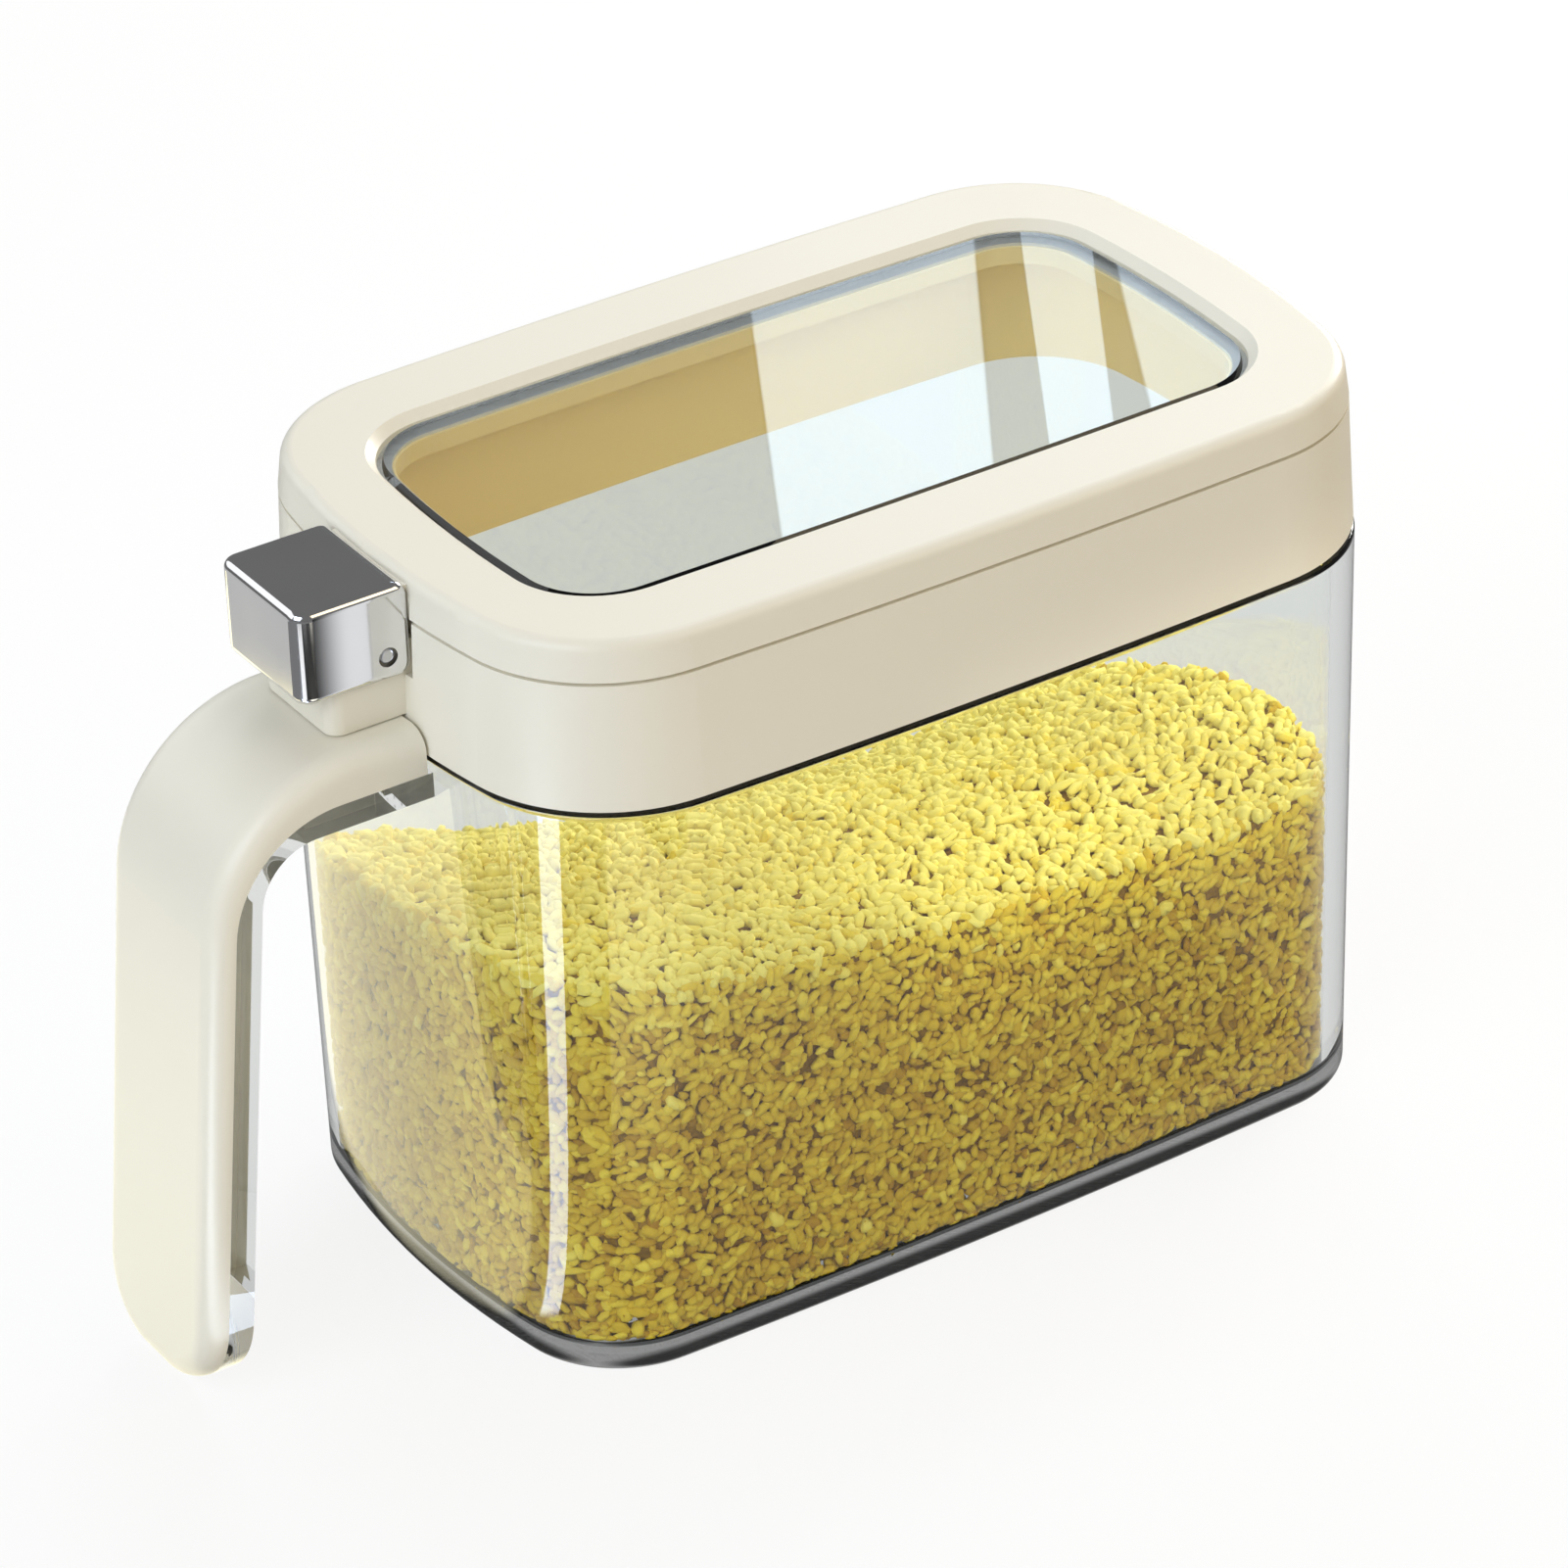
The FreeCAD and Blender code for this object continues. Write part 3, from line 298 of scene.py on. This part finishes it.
def bowedRing(plan, inset=0.0):
    # eight touching arcs: bowed ends, bowed sides and four corners, less an even inset; the
    # plan is half the length, half the width, and the radii of corner, side and end
    length, width, corner, side, end = (np.asarray(value) - inset for value in plan)
    # the corner's middle, found again until it lies on both of its neighbours' radii
    x, y = length - corner, width - corner
    for _ in range(60):
        x2 = np.sqrt((end - corner) ** 2 - y * y) - (end - length)
        y2 = np.sqrt((side - corner) ** 2 - x2 * x2) - (side - width)
        x, y = x2, y2
    flat = np.arctan2(y, x + end - length)
    steep = np.arctan2(y + side - width, x)

    def arc(cx, cy, radius, start, stop, count):
        turn = np.linspace(start, stop, count, endpoint=False)
        return np.stack([cx + radius * np.cos(turn), cy + radius * np.sin(turn)], 1)

    onEnd, onCorner, onSide = arcPoints
    right = np.concatenate([arc(length - end, 0, end, 0, flat, onEnd),
                            arc(x, y, corner, flat, steep, onCorner),
                            arc(0, width - side, side, steep, math.pi / 2, onSide)])
    left = np.concatenate([[[0, width]], right[:0:-1] * [-1, 1]])
    top = np.concatenate([right, left])
    bottom = np.concatenate([[[-length, 0]], top[:0:-1] * [1, -1]])
    return np.concatenate([top, bottom])


def levelRing(ring, level):
    # a flat outline lifted to one height
    return np.column_stack([ring, np.full(len(ring), level)])


def ringPiece(rings, name, material, body, slot, *nodes):
    # quads between stacked rings, with a fan to a middle point under the first and over
    # the last
    rows, columns, _ = rings.shape
    points = np.concatenate([rings.reshape(-1, 3), [rings[0].mean(0), rings[-1].mean(0)]])
    i, j = np.meshgrid(np.arange(rows - 1), np.arange(columns), indexing="ij")
    k = (j + 1) % columns
    quads = np.stack([i * columns + j, i * columns + k,
                      (i + 1) * columns + k, (i + 1) * columns + j], -1).reshape(-1, 4)
    j, k, last = j[0], k[0], (rows - 1) * columns
    under, over = np.full(columns, len(points) - 2), np.full(columns, len(points) - 1)
    fans = np.stack([under, k, j, over, last + j, last + k], 1).reshape(-1, 3)
    faces = quads.tolist() + fans.tolist()
    return putMesh(name, points, faces, material, body, slot, *nodes)


# in millimetres; rim and base are half the length, half the width, and the radii of corner,
# side and end
jar = {"rim": (65.2, 41.2, 20.5, 1300.0, 135.0), "base": (64.5, 37.8, 15.5, 1300.0, 135.0),
       "rimLevel": 82.0, "wall": 2.8, "floor": 2.3, "foot": 1.6, "floorRound": 1.8,
       "rimRound": 0.5, "bendSteps": 9, "rimSteps": 5, "levels": 12, "endStep": 0.12,
       "shrinks": (0.3, 0.6, 0.9, 0.995)}


def jarPlan(level, start=0.0):
    # the outline at a height, mixed between base and rim
    part = (level - start) / (jar["rimLevel"] - start)
    return [low * (1 - part) + high * part for low, high in zip(jar["base"], jar["rim"])]


def quarterTurn(steps):
    # even angles from 0 to 90 degrees, as many as the jar's value says
    return np.linspace(0, math.pi / 2, jar[steps])


def tightEnds(start, stop):
    # levels with a narrow step at both ends, so that smooth shading stays true on the wall
    step = math.copysign(jar["endStep"], stop - start)
    levels = np.linspace(start, stop, jar["levels"])[1:-1]
    return [start + step, *levels, stop - step, stop]


def makeJar():
    # outside from the middle of the base up to the rim, then inside down to the floor
    foot, rim, wall, top = jar["foot"], jar["rimRound"], jar["wall"], jar["rimLevel"]
    floor, bend = jar["floor"], jar["floorRound"]
    rows = [levelRing(bowedRing(jarPlan(0), foot) * shrink, 0) for shrink in jar["shrinks"]]

    def add(level, inset, start=0.0):
        rows.append(levelRing(bowedRing(jarPlan(level, start), inset), level))

    for t in quarterTurn("bendSteps"):
        add(foot - foot * math.cos(t), foot - foot * math.sin(t))
    for level in tightEnds(foot, top - rim):
        add(level, 0)
    for t in quarterTurn("rimSteps")[1:]:
        add(top - rim + rim * math.sin(t), rim - rim * math.cos(t))
    for t in quarterTurn("rimSteps"):
        add(top - rim + rim * math.cos(t), wall - rim + rim * math.sin(t), floor)
    for level in tightEnds(top - rim, floor + bend):
        add(level, wall, floor)
    for t in quarterTurn("bendSteps")[1:]:
        add(floor + bend - bend * math.sin(t), wall + bend - bend * math.cos(t), floor)
    inner = rows[-1]
    rows += [inner * [shrink, shrink, 1] for shrink in jar["shrinks"][::-1]]
    ringPiece(np.array(rows) * mm, "jar_glass", clearJar, "jar", "clear_jar", "jar_body")


makeJar()
print("jar made")


# in millimetres: heights of the heap at its left, middle and right, along the front and the
# back wall, and the radius that it is crowned with over its width
heap = {"x": (-65.2, 0.0, 65.2), "front": (58.5, 49.5, 47.3), "back": (49.0, 26.5, 26.5),
        "crown": (600.0, 150.0, 106.0), "reach": 41.2, "gap": 0.12}


def heapLevel(x, y):
    # height of the heap: arcs over the width, with a parabola along the jar
    share = x / heap["x"][2]

    def through(values):
        left, middle, right = values
        bow = (right + left) / 2 - middle
        return middle + (right - left) / 2 * share + bow * share ** 2
    crown = 1 / np.interp(x, heap["x"], [1 / radius for radius in heap["crown"]])
    reach = heap["reach"]
    part = (y + reach) / (2 * reach)
    straight = through(heap["front"]) * (1 - part) + through(heap["back"]) * part
    return straight + (reach * reach - y * y) / (2 * crown)


def innerPlan(level, inset):
    # the inner wall's outline at a height, with a further inset
    return bowedRing(jarPlan(level, jar["floor"]), jar["wall"] + inset)


def floorPlan(inset=0.0):
    # the flat part of the jar's floor, inside the round along its edge
    return bowedRing(jar["base"], jar["wall"] + jar["floorRound"] + inset)


def wallPoint(share, level, inset):
    # a point on the inner wall at a share of the way round, and its outward direction
    ring = innerPlan(level, inset)
    closed = np.concatenate([ring, ring[:1]])
    steps = np.linalg.norm(np.diff(closed, axis=0), axis=1)
    along = np.concatenate([[0], np.cumsum(steps)]) / steps.sum()

    def at(share):
        return (np.interp(share, along, closed[:, axis]) for axis in (0, 1))
    x, y = at(share)
    aheadX, aheadY = at((share + 0.002) % 1)
    dx, dy = aheadX - x, aheadY - y
    size = np.hypot(dx, dy)
    return np.column_stack([x, y]), np.column_stack([dy / size, -dx / size])


def insideRing(spots, ring):
    # even-odd test of points against a closed outline
    x, y = spots[:, 0][:, None], spots[:, 1][:, None]
    (ax, ay), (bx, by) = ring.T, np.roll(ring, -1, 0).T
    crosses = (ay > y) != (by > y)
    with np.errstate(divide="ignore", invalid="ignore"):
        crossing = ax + (y - ay) / (by - ay) * (bx - ax)
    return (crosses & (x < crossing)).sum(1) % 2 == 1


# a grain's half sizes in millimetres, how much they vary and how far at most, how uneven
# the grain is, and its rings of points: place along it, and width
seed = {"size": (1.5, 0.85, 0.8), "vary": 0.2, "limits": (0.6, 1.5), "lump": 0.12,
        "rings": ((-0.62, 0.78), (0.0, 1.0), (0.62, 0.78)), "sides": 6, "twist": 0.5,
        "perPiece": 5200}


def grainShape():
    # a blunt seed: three rings of six points and two poles
    sides = seed["sides"]
    rings = []
    for along, width in seed["rings"]:
        turn = np.arange(sides) / sides * 2 * math.pi + (seed["twist"] if along else 0)
        rings.append(np.column_stack([np.full(sides, along), width * np.cos(turn),
                                      width * np.sin(turn)]))
    points = np.concatenate(rings + [[[-1, 0, 0], [1, 0, 0]]])
    near, far, last = 3 * sides, 3 * sides + 1, 2 * sides
    faces = []
    for i in range(sides):
        j = (i + 1) % sides
        faces += [[near, j, i], [far, last + i, last + j]]
        for r in (0, sides):
            faces += [[r + i, r + j, r + sides + j], [r + i, r + sides + j, r + sides + i]]
    return points, np.array(faces)


def turns(count):
    # random rotations from random unit quaternions
    q = random.normal(size=(count, 4))
    q /= np.linalg.norm(q, axis=1)[:, None]
    w, x, y, z = q.T
    return np.stack([
        1 - 2 * (y * y + z * z), 2 * (x * y - z * w), 2 * (x * z + y * w),
        2 * (x * y + z * w), 1 - 2 * (x * x + z * z), 2 * (y * z - x * w),
        2 * (x * z - y * w), 2 * (y * z + x * w), 1 - 2 * (x * x + y * y)],
        1).reshape(-1, 3, 3)


def jittered(width, height, step):
    # places in a staggered pattern, each moved a little at random
    rise, stray = step * 0.866, step * 0.17
    rows = int(height / rise) + 1
    columns = int(width / step) + 1
    i, j = np.meshgrid(np.arange(rows), np.arange(columns), indexing="ij")
    spots = np.stack([(j + 0.5 * (i % 2)) * step, i * rise], -1).reshape(-1, 2)
    return spots + random.normal(size=spots.shape) * stray


def layGrains(name, places, outward, tones, push, flat=1.0, scale=1.0):
    # lays one grain at each place, touching the surface that faces outward, or pushed in
    # from it; a low flat presses the grains against that surface
    shape, faces = grainShape()
    order = random.permutation(len(places))
    parts = np.array_split(order, len(places) // seed["perPiece"] + 1)
    for number, chosen in enumerate(parts, 1):
        count = len(chosen)
        out = outward[chosen]
        vary = 1 + seed["vary"] * random.normal(size=(count, 3))
        size = scale * np.array(seed["size"]) * vary.clip(*seed["limits"])
        lump = 1 + seed["lump"] * random.normal(size=(count, len(shape), 1))
        lumps = shape[None] * lump * size[:, None]
        grains = np.einsum("nij,npj->npi", turns(count), lumps)
        depth = np.einsum("npi,ni->np", grains, out)
        grains -= (depth * (1 - flat))[..., None] * out[:, None]
        centre = places[chosen] - out * (depth.max(1) * flat + push[chosen])[:, None]
        points = (grains + centre[:, None]).reshape(-1, 3) * mm
        every = faces[None] + np.arange(count)[:, None, None] * len(shape)
        piece = putMesh(f"{name}_{number}", points, every.reshape(-1, 3).tolist(), grain,
                        "jar", "granules")
        putTone(piece, np.repeat(tones[chosen], len(shape)))


def pushes(places, reach):
    # how far each grain is pushed in from its surface
    return np.abs(random.normal(size=len(places))) * reach


def mottled(places, middle, vary):
    # a tone for each grain, spread at random about a middle one
    return middle + vary * random.normal(size=len(places))


# round and height are the unrolled wall, taken in bands of one height each
# a grain pushed in from the wall is darker by painted shade, and grains near the heap's top
# are paler by painted light
wallLay = {"step": 1.38, "round": 390.0, "height": 56.0, "start": 0.3, "band": 4,
           "bands": 15, "under": 0.5, "push": 0.42, "tone": 0.56, "toneVary": 0.12,
           "pushedShade": 0.28, "topLight": 0.26, "topLightReach": 7.0, "flat": 0.62, "scale": 0.94}


def wallGrains(low):
    # unrolls the wall: a share of the way round, and a height
    spots = jittered(wallLay["round"], wallLay["height"], wallLay["step"])
    share = (spots[:, 0] / wallLay["round"]) % 1
    level = low + wallLay["start"] + spots[:, 1]
    places, outward = np.zeros((2, len(spots), 3))
    band, count = wallLay["band"], wallLay["bands"]
    bands = np.clip((spots[:, 1] / band).astype(int), 0, count - 1)
    for number in range(count):
        mine = bands == number
        middle = low + number * band + band / 2
        places[mine, :2], outward[mine, :2] = wallPoint(share[mine], middle, heap["gap"])
    places[:, 2] = level
    # the lowest grains follow the round between wall and floor
    bend = jar["floorRound"]
    turn = np.arcsin(np.clip(low + bend - level, 0, bend) / bend)
    places[:, :2] -= outward[:, :2] * (bend * (1 - np.cos(turn)))[:, None]
    outward[:, :2] *= np.cos(turn)[:, None]
    outward[:, 2] = -np.sin(turn)
    under = heapLevel(places[:, 0], places[:, 1]) - level
    keep = under > wallLay["under"]
    places, outward, under = places[keep], outward[keep], under[keep]
    push = pushes(places, wallLay["push"])
    # painted shade: grains pushed further in are darker
    tones = mottled(places, wallLay["tone"], wallLay["toneVary"]) - push * wallLay["pushedShade"]
    # painted light: paler towards the top of the heap
    tones += wallLay["topLight"] * np.exp(-under / wallLay["topLightReach"])
    layGrains("grains_wall", places, outward, tones, push,
              wallLay["flat"], wallLay["scale"])


# the heap's middle tone is set pale as painted light, and a grain pushed in is darker by
# painted shade
heapLay = {"step": 1.5, "field": (124.0, 78.0), "level": 48.0, "inset": 1.0, "push": 0.7,
           "lift": 0.75, "tone": 0.98, "toneVary": 0.13, "pushedShade": 0.2}


def heapGrains():
    # a staggered field over the heap's top, cut to the inner wall
    spots = jittered(*heapLay["field"], heapLay["step"]) - np.array(heapLay["field"]) / 2
    spots = spots[insideRing(spots, innerPlan(heapLay["level"], heapLay["inset"]))]
    places = np.column_stack([spots, heapLevel(spots[:, 0], spots[:, 1])])
    outward = np.tile([0.0, 0.0, 1.0], (len(places), 1))
    push = pushes(places, heapLay["push"]) - heapLay["lift"]
    # painted shade: grains pushed further in are darker
    tones = mottled(places, heapLay["tone"], heapLay["toneVary"]) - push * heapLay["pushedShade"]
    layGrains("grains_heap", places, outward, tones, push)


floorLay = {"step": 1.9, "field": (126.0, 74.0), "push": 0.3, "tone": 0.5,
            "toneVary": 0.13, "flat": 0.62}


def floorGrains(low):
    # a staggered field on the jar's floor, seen through the base
    spots = jittered(*floorLay["field"], floorLay["step"]) - np.array(floorLay["field"]) / 2
    places = levelRing(spots[insideRing(spots, floorPlan())], low)
    outward = np.tile([0.0, 0.0, -1.0], (len(places), 1))
    push = pushes(places, floorLay["push"])
    tones = mottled(places, floorLay["tone"], floorLay["toneVary"])
    layGrains("grains_floor", places, outward, tones, push, floorLay["flat"])


# deep is how far the core lies behind the surfaces that carry the laid grains; its low tone
# is a dark body that stands for painted shade in the gaps between them
core = {"deep": 0.9, "shrinks": (0.3, 0.6, 0.9), "start": 4, "rise": 40, "levels": 10,
        "rings": 14, "tone": 0.08}


def makeHeapCore():
    # the body of granules behind the laid ones, dark as painted shade between them
    inset = heap["gap"] + core["deep"]
    low = jar["floor"] + inset
    start = low + core["start"]

    def topped(ring):
        return heapLevel(ring[:, 0], ring[:, 1]) - core["deep"]
    rows = [levelRing(floorPlan(core["deep"]) * shrink, low) for shrink in core["shrinks"]]
    for part in np.linspace(0, 1, core["levels"]):
        ring = innerPlan(start + part * core["rise"], inset)
        rows.append(np.column_stack([ring, start * (1 - part) + topped(ring) * part]))
    edge = innerPlan(start + core["rise"], inset)
    for shrink in np.linspace(1, 0, core["rings"])[1:-1]:
        ring = edge * shrink
        rows.append(np.column_stack([ring, topped(ring)]))
    piece = ringPiece(np.array(rows) * mm, "granule_body", grain, "jar", "granules", "fill")
    putTone(piece, np.full(len(piece.data.vertices), core["tone"]))


makeHeapCore()
wallGrains(jar["floor"] + heap["gap"])
heapGrains()
floorGrains(jar["floor"] + heap["gap"])
print("granules laid")


def stagePiece(name, points, material):
    # one flat quad that isn't part of the object
    mesh = bpy.data.meshes.new(name)
    mesh.from_pydata(points, [], [(0, 1, 2, 3)])
    mesh.materials.append(material)
    piece = bpy.data.objects.new(name, mesh)
    scene.collection.objects.link(piece)
    return piece


# brightness of the floor and the world by the kind of ray that meets them; foot is half the
# length and width of a painted shadow, seen through the clear base, on the spot that the
# jar stands on, and the edge pair is where its paler middle starts and where it is full, in
# metres from the spot's edge
studio = {"half": 6.0, "floor": (0.86, 0.86, 0.86), "shown": (1.0, 1.0, 0.995),
          "floorGlossy": 0.10, "floorThrough": 0.75, "eyeShare": 0.85, "throughShare": 0.98,
          "foot": (0.0655, 0.0390), "footPower": 6, "footShadowPale": 0.34,
          "footShadowEdge": (0.0072, 0.0100),
          "worldGlossy": 0.17, "worldThrough": 0.62, "worldLight": 0.36,
          "white": (1.0, 1.0, 1.0), "warm": (0.92, 0.70, 0.42), "warmFrom": (-0.3, 0.8)}


def rayKinds(own):
    # 1 for the camera's rays, for reflected ones, and for those that came through plastic
    path = own.node("ShaderNodeLightPath")
    eye, glossy, through = own.outputs(path, *(
        f"Is {kind} Ray" for kind in ("Camera", "Glossy", "Transmission")))
    return eye, glossy * (1 - through), through


def makeFloor():
    own = Finish("paleFloor")
    eye, glossy, through = rayKinds(own)
    pale = own.node("ShaderNodeBsdfDiffuse", None, {"Color": studio["floor"]})
    # rays through the clear base meet a painted shadow on the spot that the jar stands on,
    # dark along its edge
    x, y, _ = own.axes(own.place())
    (long, wide), power = studio["foot"], studio["footPower"]
    away = ((x / long) ** power + (y / wide) ** power).above(1.0)
    inner = own.step((long - x.size()).least(wide - y.size()), *studio["footShadowEdge"])
    spot = away * studio["floorThrough"] + inner * studio["footShadowPale"]
    plain = own.node("ShaderNodeEmission", None, {
        "Color": studio["shown"],
        "Strength": eye + glossy * studio["floorGlossy"] + through * spot})
    share = eye * studio["eyeShare"] + glossy * studio["eyeShare"] \
        + through * studio["throughShare"]
    half = studio["half"]
    corners = [(-half, -half, 0), (half, -half, 0), (half, half, 0), (-half, half, 0)]
    stagePiece("studio_floor", corners, own.done(own.either(share.least(1.0), pale, plain)))


def makeWorld():
    world = bpy.data.worlds.new("studio")
    scene.world = world
    world.use_nodes = True
    own = Finish("", world.node_tree)
    eye, glossy, through = rayKinds(own)
    other = 1 - (eye + glossy + through).least(1.0)
    strength = eye + glossy * studio["worldGlossy"] + through * studio["worldThrough"] \
        + other * studio["worldLight"]
    # soft light comes warm and dim from the front right, white from elsewhere
    x, y, _ = own.axes(own.node("ShaderNodeTexCoord", out="Generated"))
    warm = own.step(x * 0.6 - y * 0.8, *studio["warmFrom"]) * other
    colour = own.mix(warm, studio["white"], studio["warm"])
    own.node("ShaderNodeOutputWorld", None, {"Surface": own.node(
        "ShaderNodeBackground", None, {"Color": colour, "Strength": strength})})


# pale panels that only reflections see, except the window panels, which are seen through
# clear pieces too: corners in metres, colour, strength, and the share of the panel over
# which each side fades, from first to second corner, third to fourth, first to fourth, and
# second to third
even = (0.02, 0.02, 0.02, 0.02)
cool, white = (0.72, 0.86, 1.0), (1.0, 1.0, 1.0)
panels = {
    "windowPanelA": (((0.3082, 0.5154, 0.3658), (0.2910, 0.4685, 0.4565),
                      (0.3299, 0.4414, 0.4573), (0.3513, 0.4852, 0.3668)), cool, 2.9, even),
    "windowPanelB": (((0.3585, 0.4802, 0.3670), (0.3416, 0.4333, 0.4575),
                      (0.3533, 0.4251, 0.4577), (0.3714, 0.4712, 0.3673)), cool, 2.9, even),
    "windowPanelC": (((0.3729, 0.4702, 0.3673), (0.3648, 0.4171, 0.4580),
                      (0.3979, 0.3940, 0.4587), (0.4059, 0.4471, 0.3681)), cool, 2.9, even),
    # on the floor: the bright strip of the near corner, and milky washes over both walls
    "cornerStrip": (((-0.0684, -0.0215, 0.0006), (-0.0698, -0.0275, 0.0006),
                     (-0.2150, -0.0835, 0.0006), (-0.2230, -0.0350, 0.0006)),
                    (0.68, 0.79, 1.0), 10.5, even),
    "leftWash": (((-0.0650, -0.0191, 0.0005), (-0.1860, 0.0094, 0.0005),
                  (-0.1400, 0.1900, 0.0005), (-0.0620, 0.1900, 0.0005)),
                 (1.0, 0.94, 0.66), 1.8, even),
    "leftFloor": (((-0.30, 0.130, 0.0004), (-0.30, 0.30, 0.0004), (-0.06, 0.30, 0.0004),
                   (-0.06, 0.130, 0.0004)), white, 0.58, even),
    "frontWash": (((-0.0620, -0.0380, 0.0005), (-0.1500, -0.1470, 0.0005),
                   (0.0900, -0.2600, 0.0005), (0.0600, -0.0500, 0.0005)),
                  (1.0, 0.97, 0.84), 1.9, (0.01, 0.85, 0.70, 0.05)),
    # the near upright edge of the thumb block sees a bright card on the floor, then dark
    # ones; its side sees a grey card beside it, and its top a tall one behind
    "blockWhite": (((-0.2130, -0.0560, 0.0008), (-0.1790, -0.1120, 0.0008),
                    (-0.2080, -0.1420, 0.0008), (-0.2520, -0.0740, 0.0008)),
                   (0.98, 0.99, 1.0), 1.25, even),
    "blockDarkA": (((-0.1775, -0.1150, 0.0008), (-0.0950, -0.1535, 0.0008),
                    (-0.0990, -0.1960, 0.0008), (-0.2060, -0.1440, 0.0008)),
                   white, 0.03, even),
    "blockDarkB": (((-0.0950, -0.1535, 0.0008), (-0.0150, -0.1400, 0.0008),
                    (0.0000, -0.1800, 0.0008), (-0.0990, -0.1960, 0.0008)),
                   white, 0.03, even),
    "blockGrey": (((-0.0737, -0.0186, 0.080), (-0.0737, -0.0186, 0.104),
                   (-0.0650, -0.0186, 0.104), (-0.0650, -0.0186, 0.080)),
                  (0.98, 0.99, 1.0), 0.92, (0.70, 0.02, 0.02, 0.02)),
    "blockTop": (((-0.40, 0.05, 0.14), (-0.40, 0.05, 0.42), (-0.10, 0.36, 0.42),
                  (-0.10, 0.36, 0.14)), (0.98, 0.99, 1.0), 1.3, even),
}


def makePanels():
    for name, (corners, colour, strength, soft) in panels.items():
        own = Finish(name)
        u, v, _ = own.axes(own.node("ShaderNodeUVMap", {"uv_map": "share"}))
        fade = strength
        for way, reach in zip((u, 1 - u, v, 1 - v), soft):
            fade = own.step(way, 0.0, reach) * fade
        light = own.node("ShaderNodeEmission", None, {"Color": colour, "Strength": fade})
        piece = stagePiece(name, corners, own.done(light))
        layer = piece.data.uv_layers.new(name="share")
        layer.data.foreach_set("uv", [0.0, 0.0, 0.0, 1.0, 1.0, 1.0, 1.0, 0.0])
        piece.visible_camera = piece.visible_diffuse = False
        piece.visible_transmission = name.startswith("window")
        piece.visible_shadow = piece.visible_volume_scatter = False


# place, aim, width and height in metres, watts, colour, spread in degrees, and whether
# reflections show the lamp
lamps = {
    "keyLamp": ((-0.80, -0.27, 0.58), (0, 0, 0.05), (0.7, 0.7), 5.1, (0.90, 1.0, 1.16),
                180.0, True),
    "backLamp": ((0.45, 0.75, 0.95), (0, 0, 0.10), (0.42, 0.42), 3.0, (0.88, 0.97, 1.15),
                 180.0, False),
    "topLamp": ((0.16, 0.03, 0.50), (0, 0, 0.09), (0.2, 0.2), 0.50, (0.90, 1.0, 1.20),
                180.0, False),
    "sideLamp": ((0.76, 0.44, 0.30), (0, 0, 0.05), (0.4, 0.3), 4.8, (1.0, 0.98, 0.94),
                 180.0, True),
    "fillLamp": ((0.50, -0.62, 0.62), (0, 0, 0.07), (0.6, 0.5), 1.85, (1.0, 0.85, 0.58),
                 180.0, True),
    # a thin lamp that shines under the collar onto the front of the heap
    "heapLamp": ((0.070, -0.17, 0.185), (0.050, -0.025, 0.054), (0.12, 0.012), 0.0042,
                 (1.0, 0.96, 0.86), 13.0, False),
}


def makeLamps():
    for name, (place, aim, size, watts, colour, spread, shown) in lamps.items():
        lamp = bpy.data.lights.new(name, "AREA")
        lamp.shape, lamp.color, lamp.energy = "RECTANGLE", colour, watts
        lamp.size, lamp.size_y = size
        lamp.spread = math.radians(spread)
        holder = bpy.data.objects.new(name, lamp)
        scene.collection.objects.link(holder)
        holder.location = place
        holder.visible_camera = holder.visible_transmission = False
        holder.visible_glossy = shown
        way = Vector(aim) - Vector(place)
        holder.rotation_euler = way.to_track_quat("-Z", "Y").to_euler()


# fitted to the photograph's outlines: metres, degrees, millimetres
cameraFit = {"place": (-0.405795, -0.636431, 0.508045), "azimuth": 32.085,
             "elevation": 31.296, "roll": -2.234, "lens": 158.42, "sensor": 36.0}


def makeCamera():
    a, e, r = (math.radians(cameraFit[k]) for k in ("azimuth", "elevation", "roll"))
    ahead = Vector((math.sin(a) * math.cos(e), math.cos(a) * math.cos(e), -math.sin(e)))
    right = ahead.cross(Vector((0, 0, 1))).normalized()
    up = right.cross(ahead)
    side = right * math.cos(r) + up * math.sin(r)
    over = up * math.cos(r) - right * math.sin(r)
    camera = bpy.data.cameras.new("camera")
    camera.lens, camera.sensor_width = cameraFit["lens"], cameraFit["sensor"]
    camera.clip_start, camera.clip_end = 0.01, 50
    holder = bpy.data.objects.new("camera", camera)
    scene.collection.objects.link(holder)
    turn = Matrix((side, over, -ahead)).transposed().to_4x4()
    holder.matrix_world = Matrix.Translation(cameraFit["place"]) @ turn
    scene.camera = holder


makeFloor()
makeWorld()
makePanels()
makeLamps()
makeCamera()
scene.view_settings.view_transform = "Standard"
print("studio ready")

bpy.context.view_layer.update()
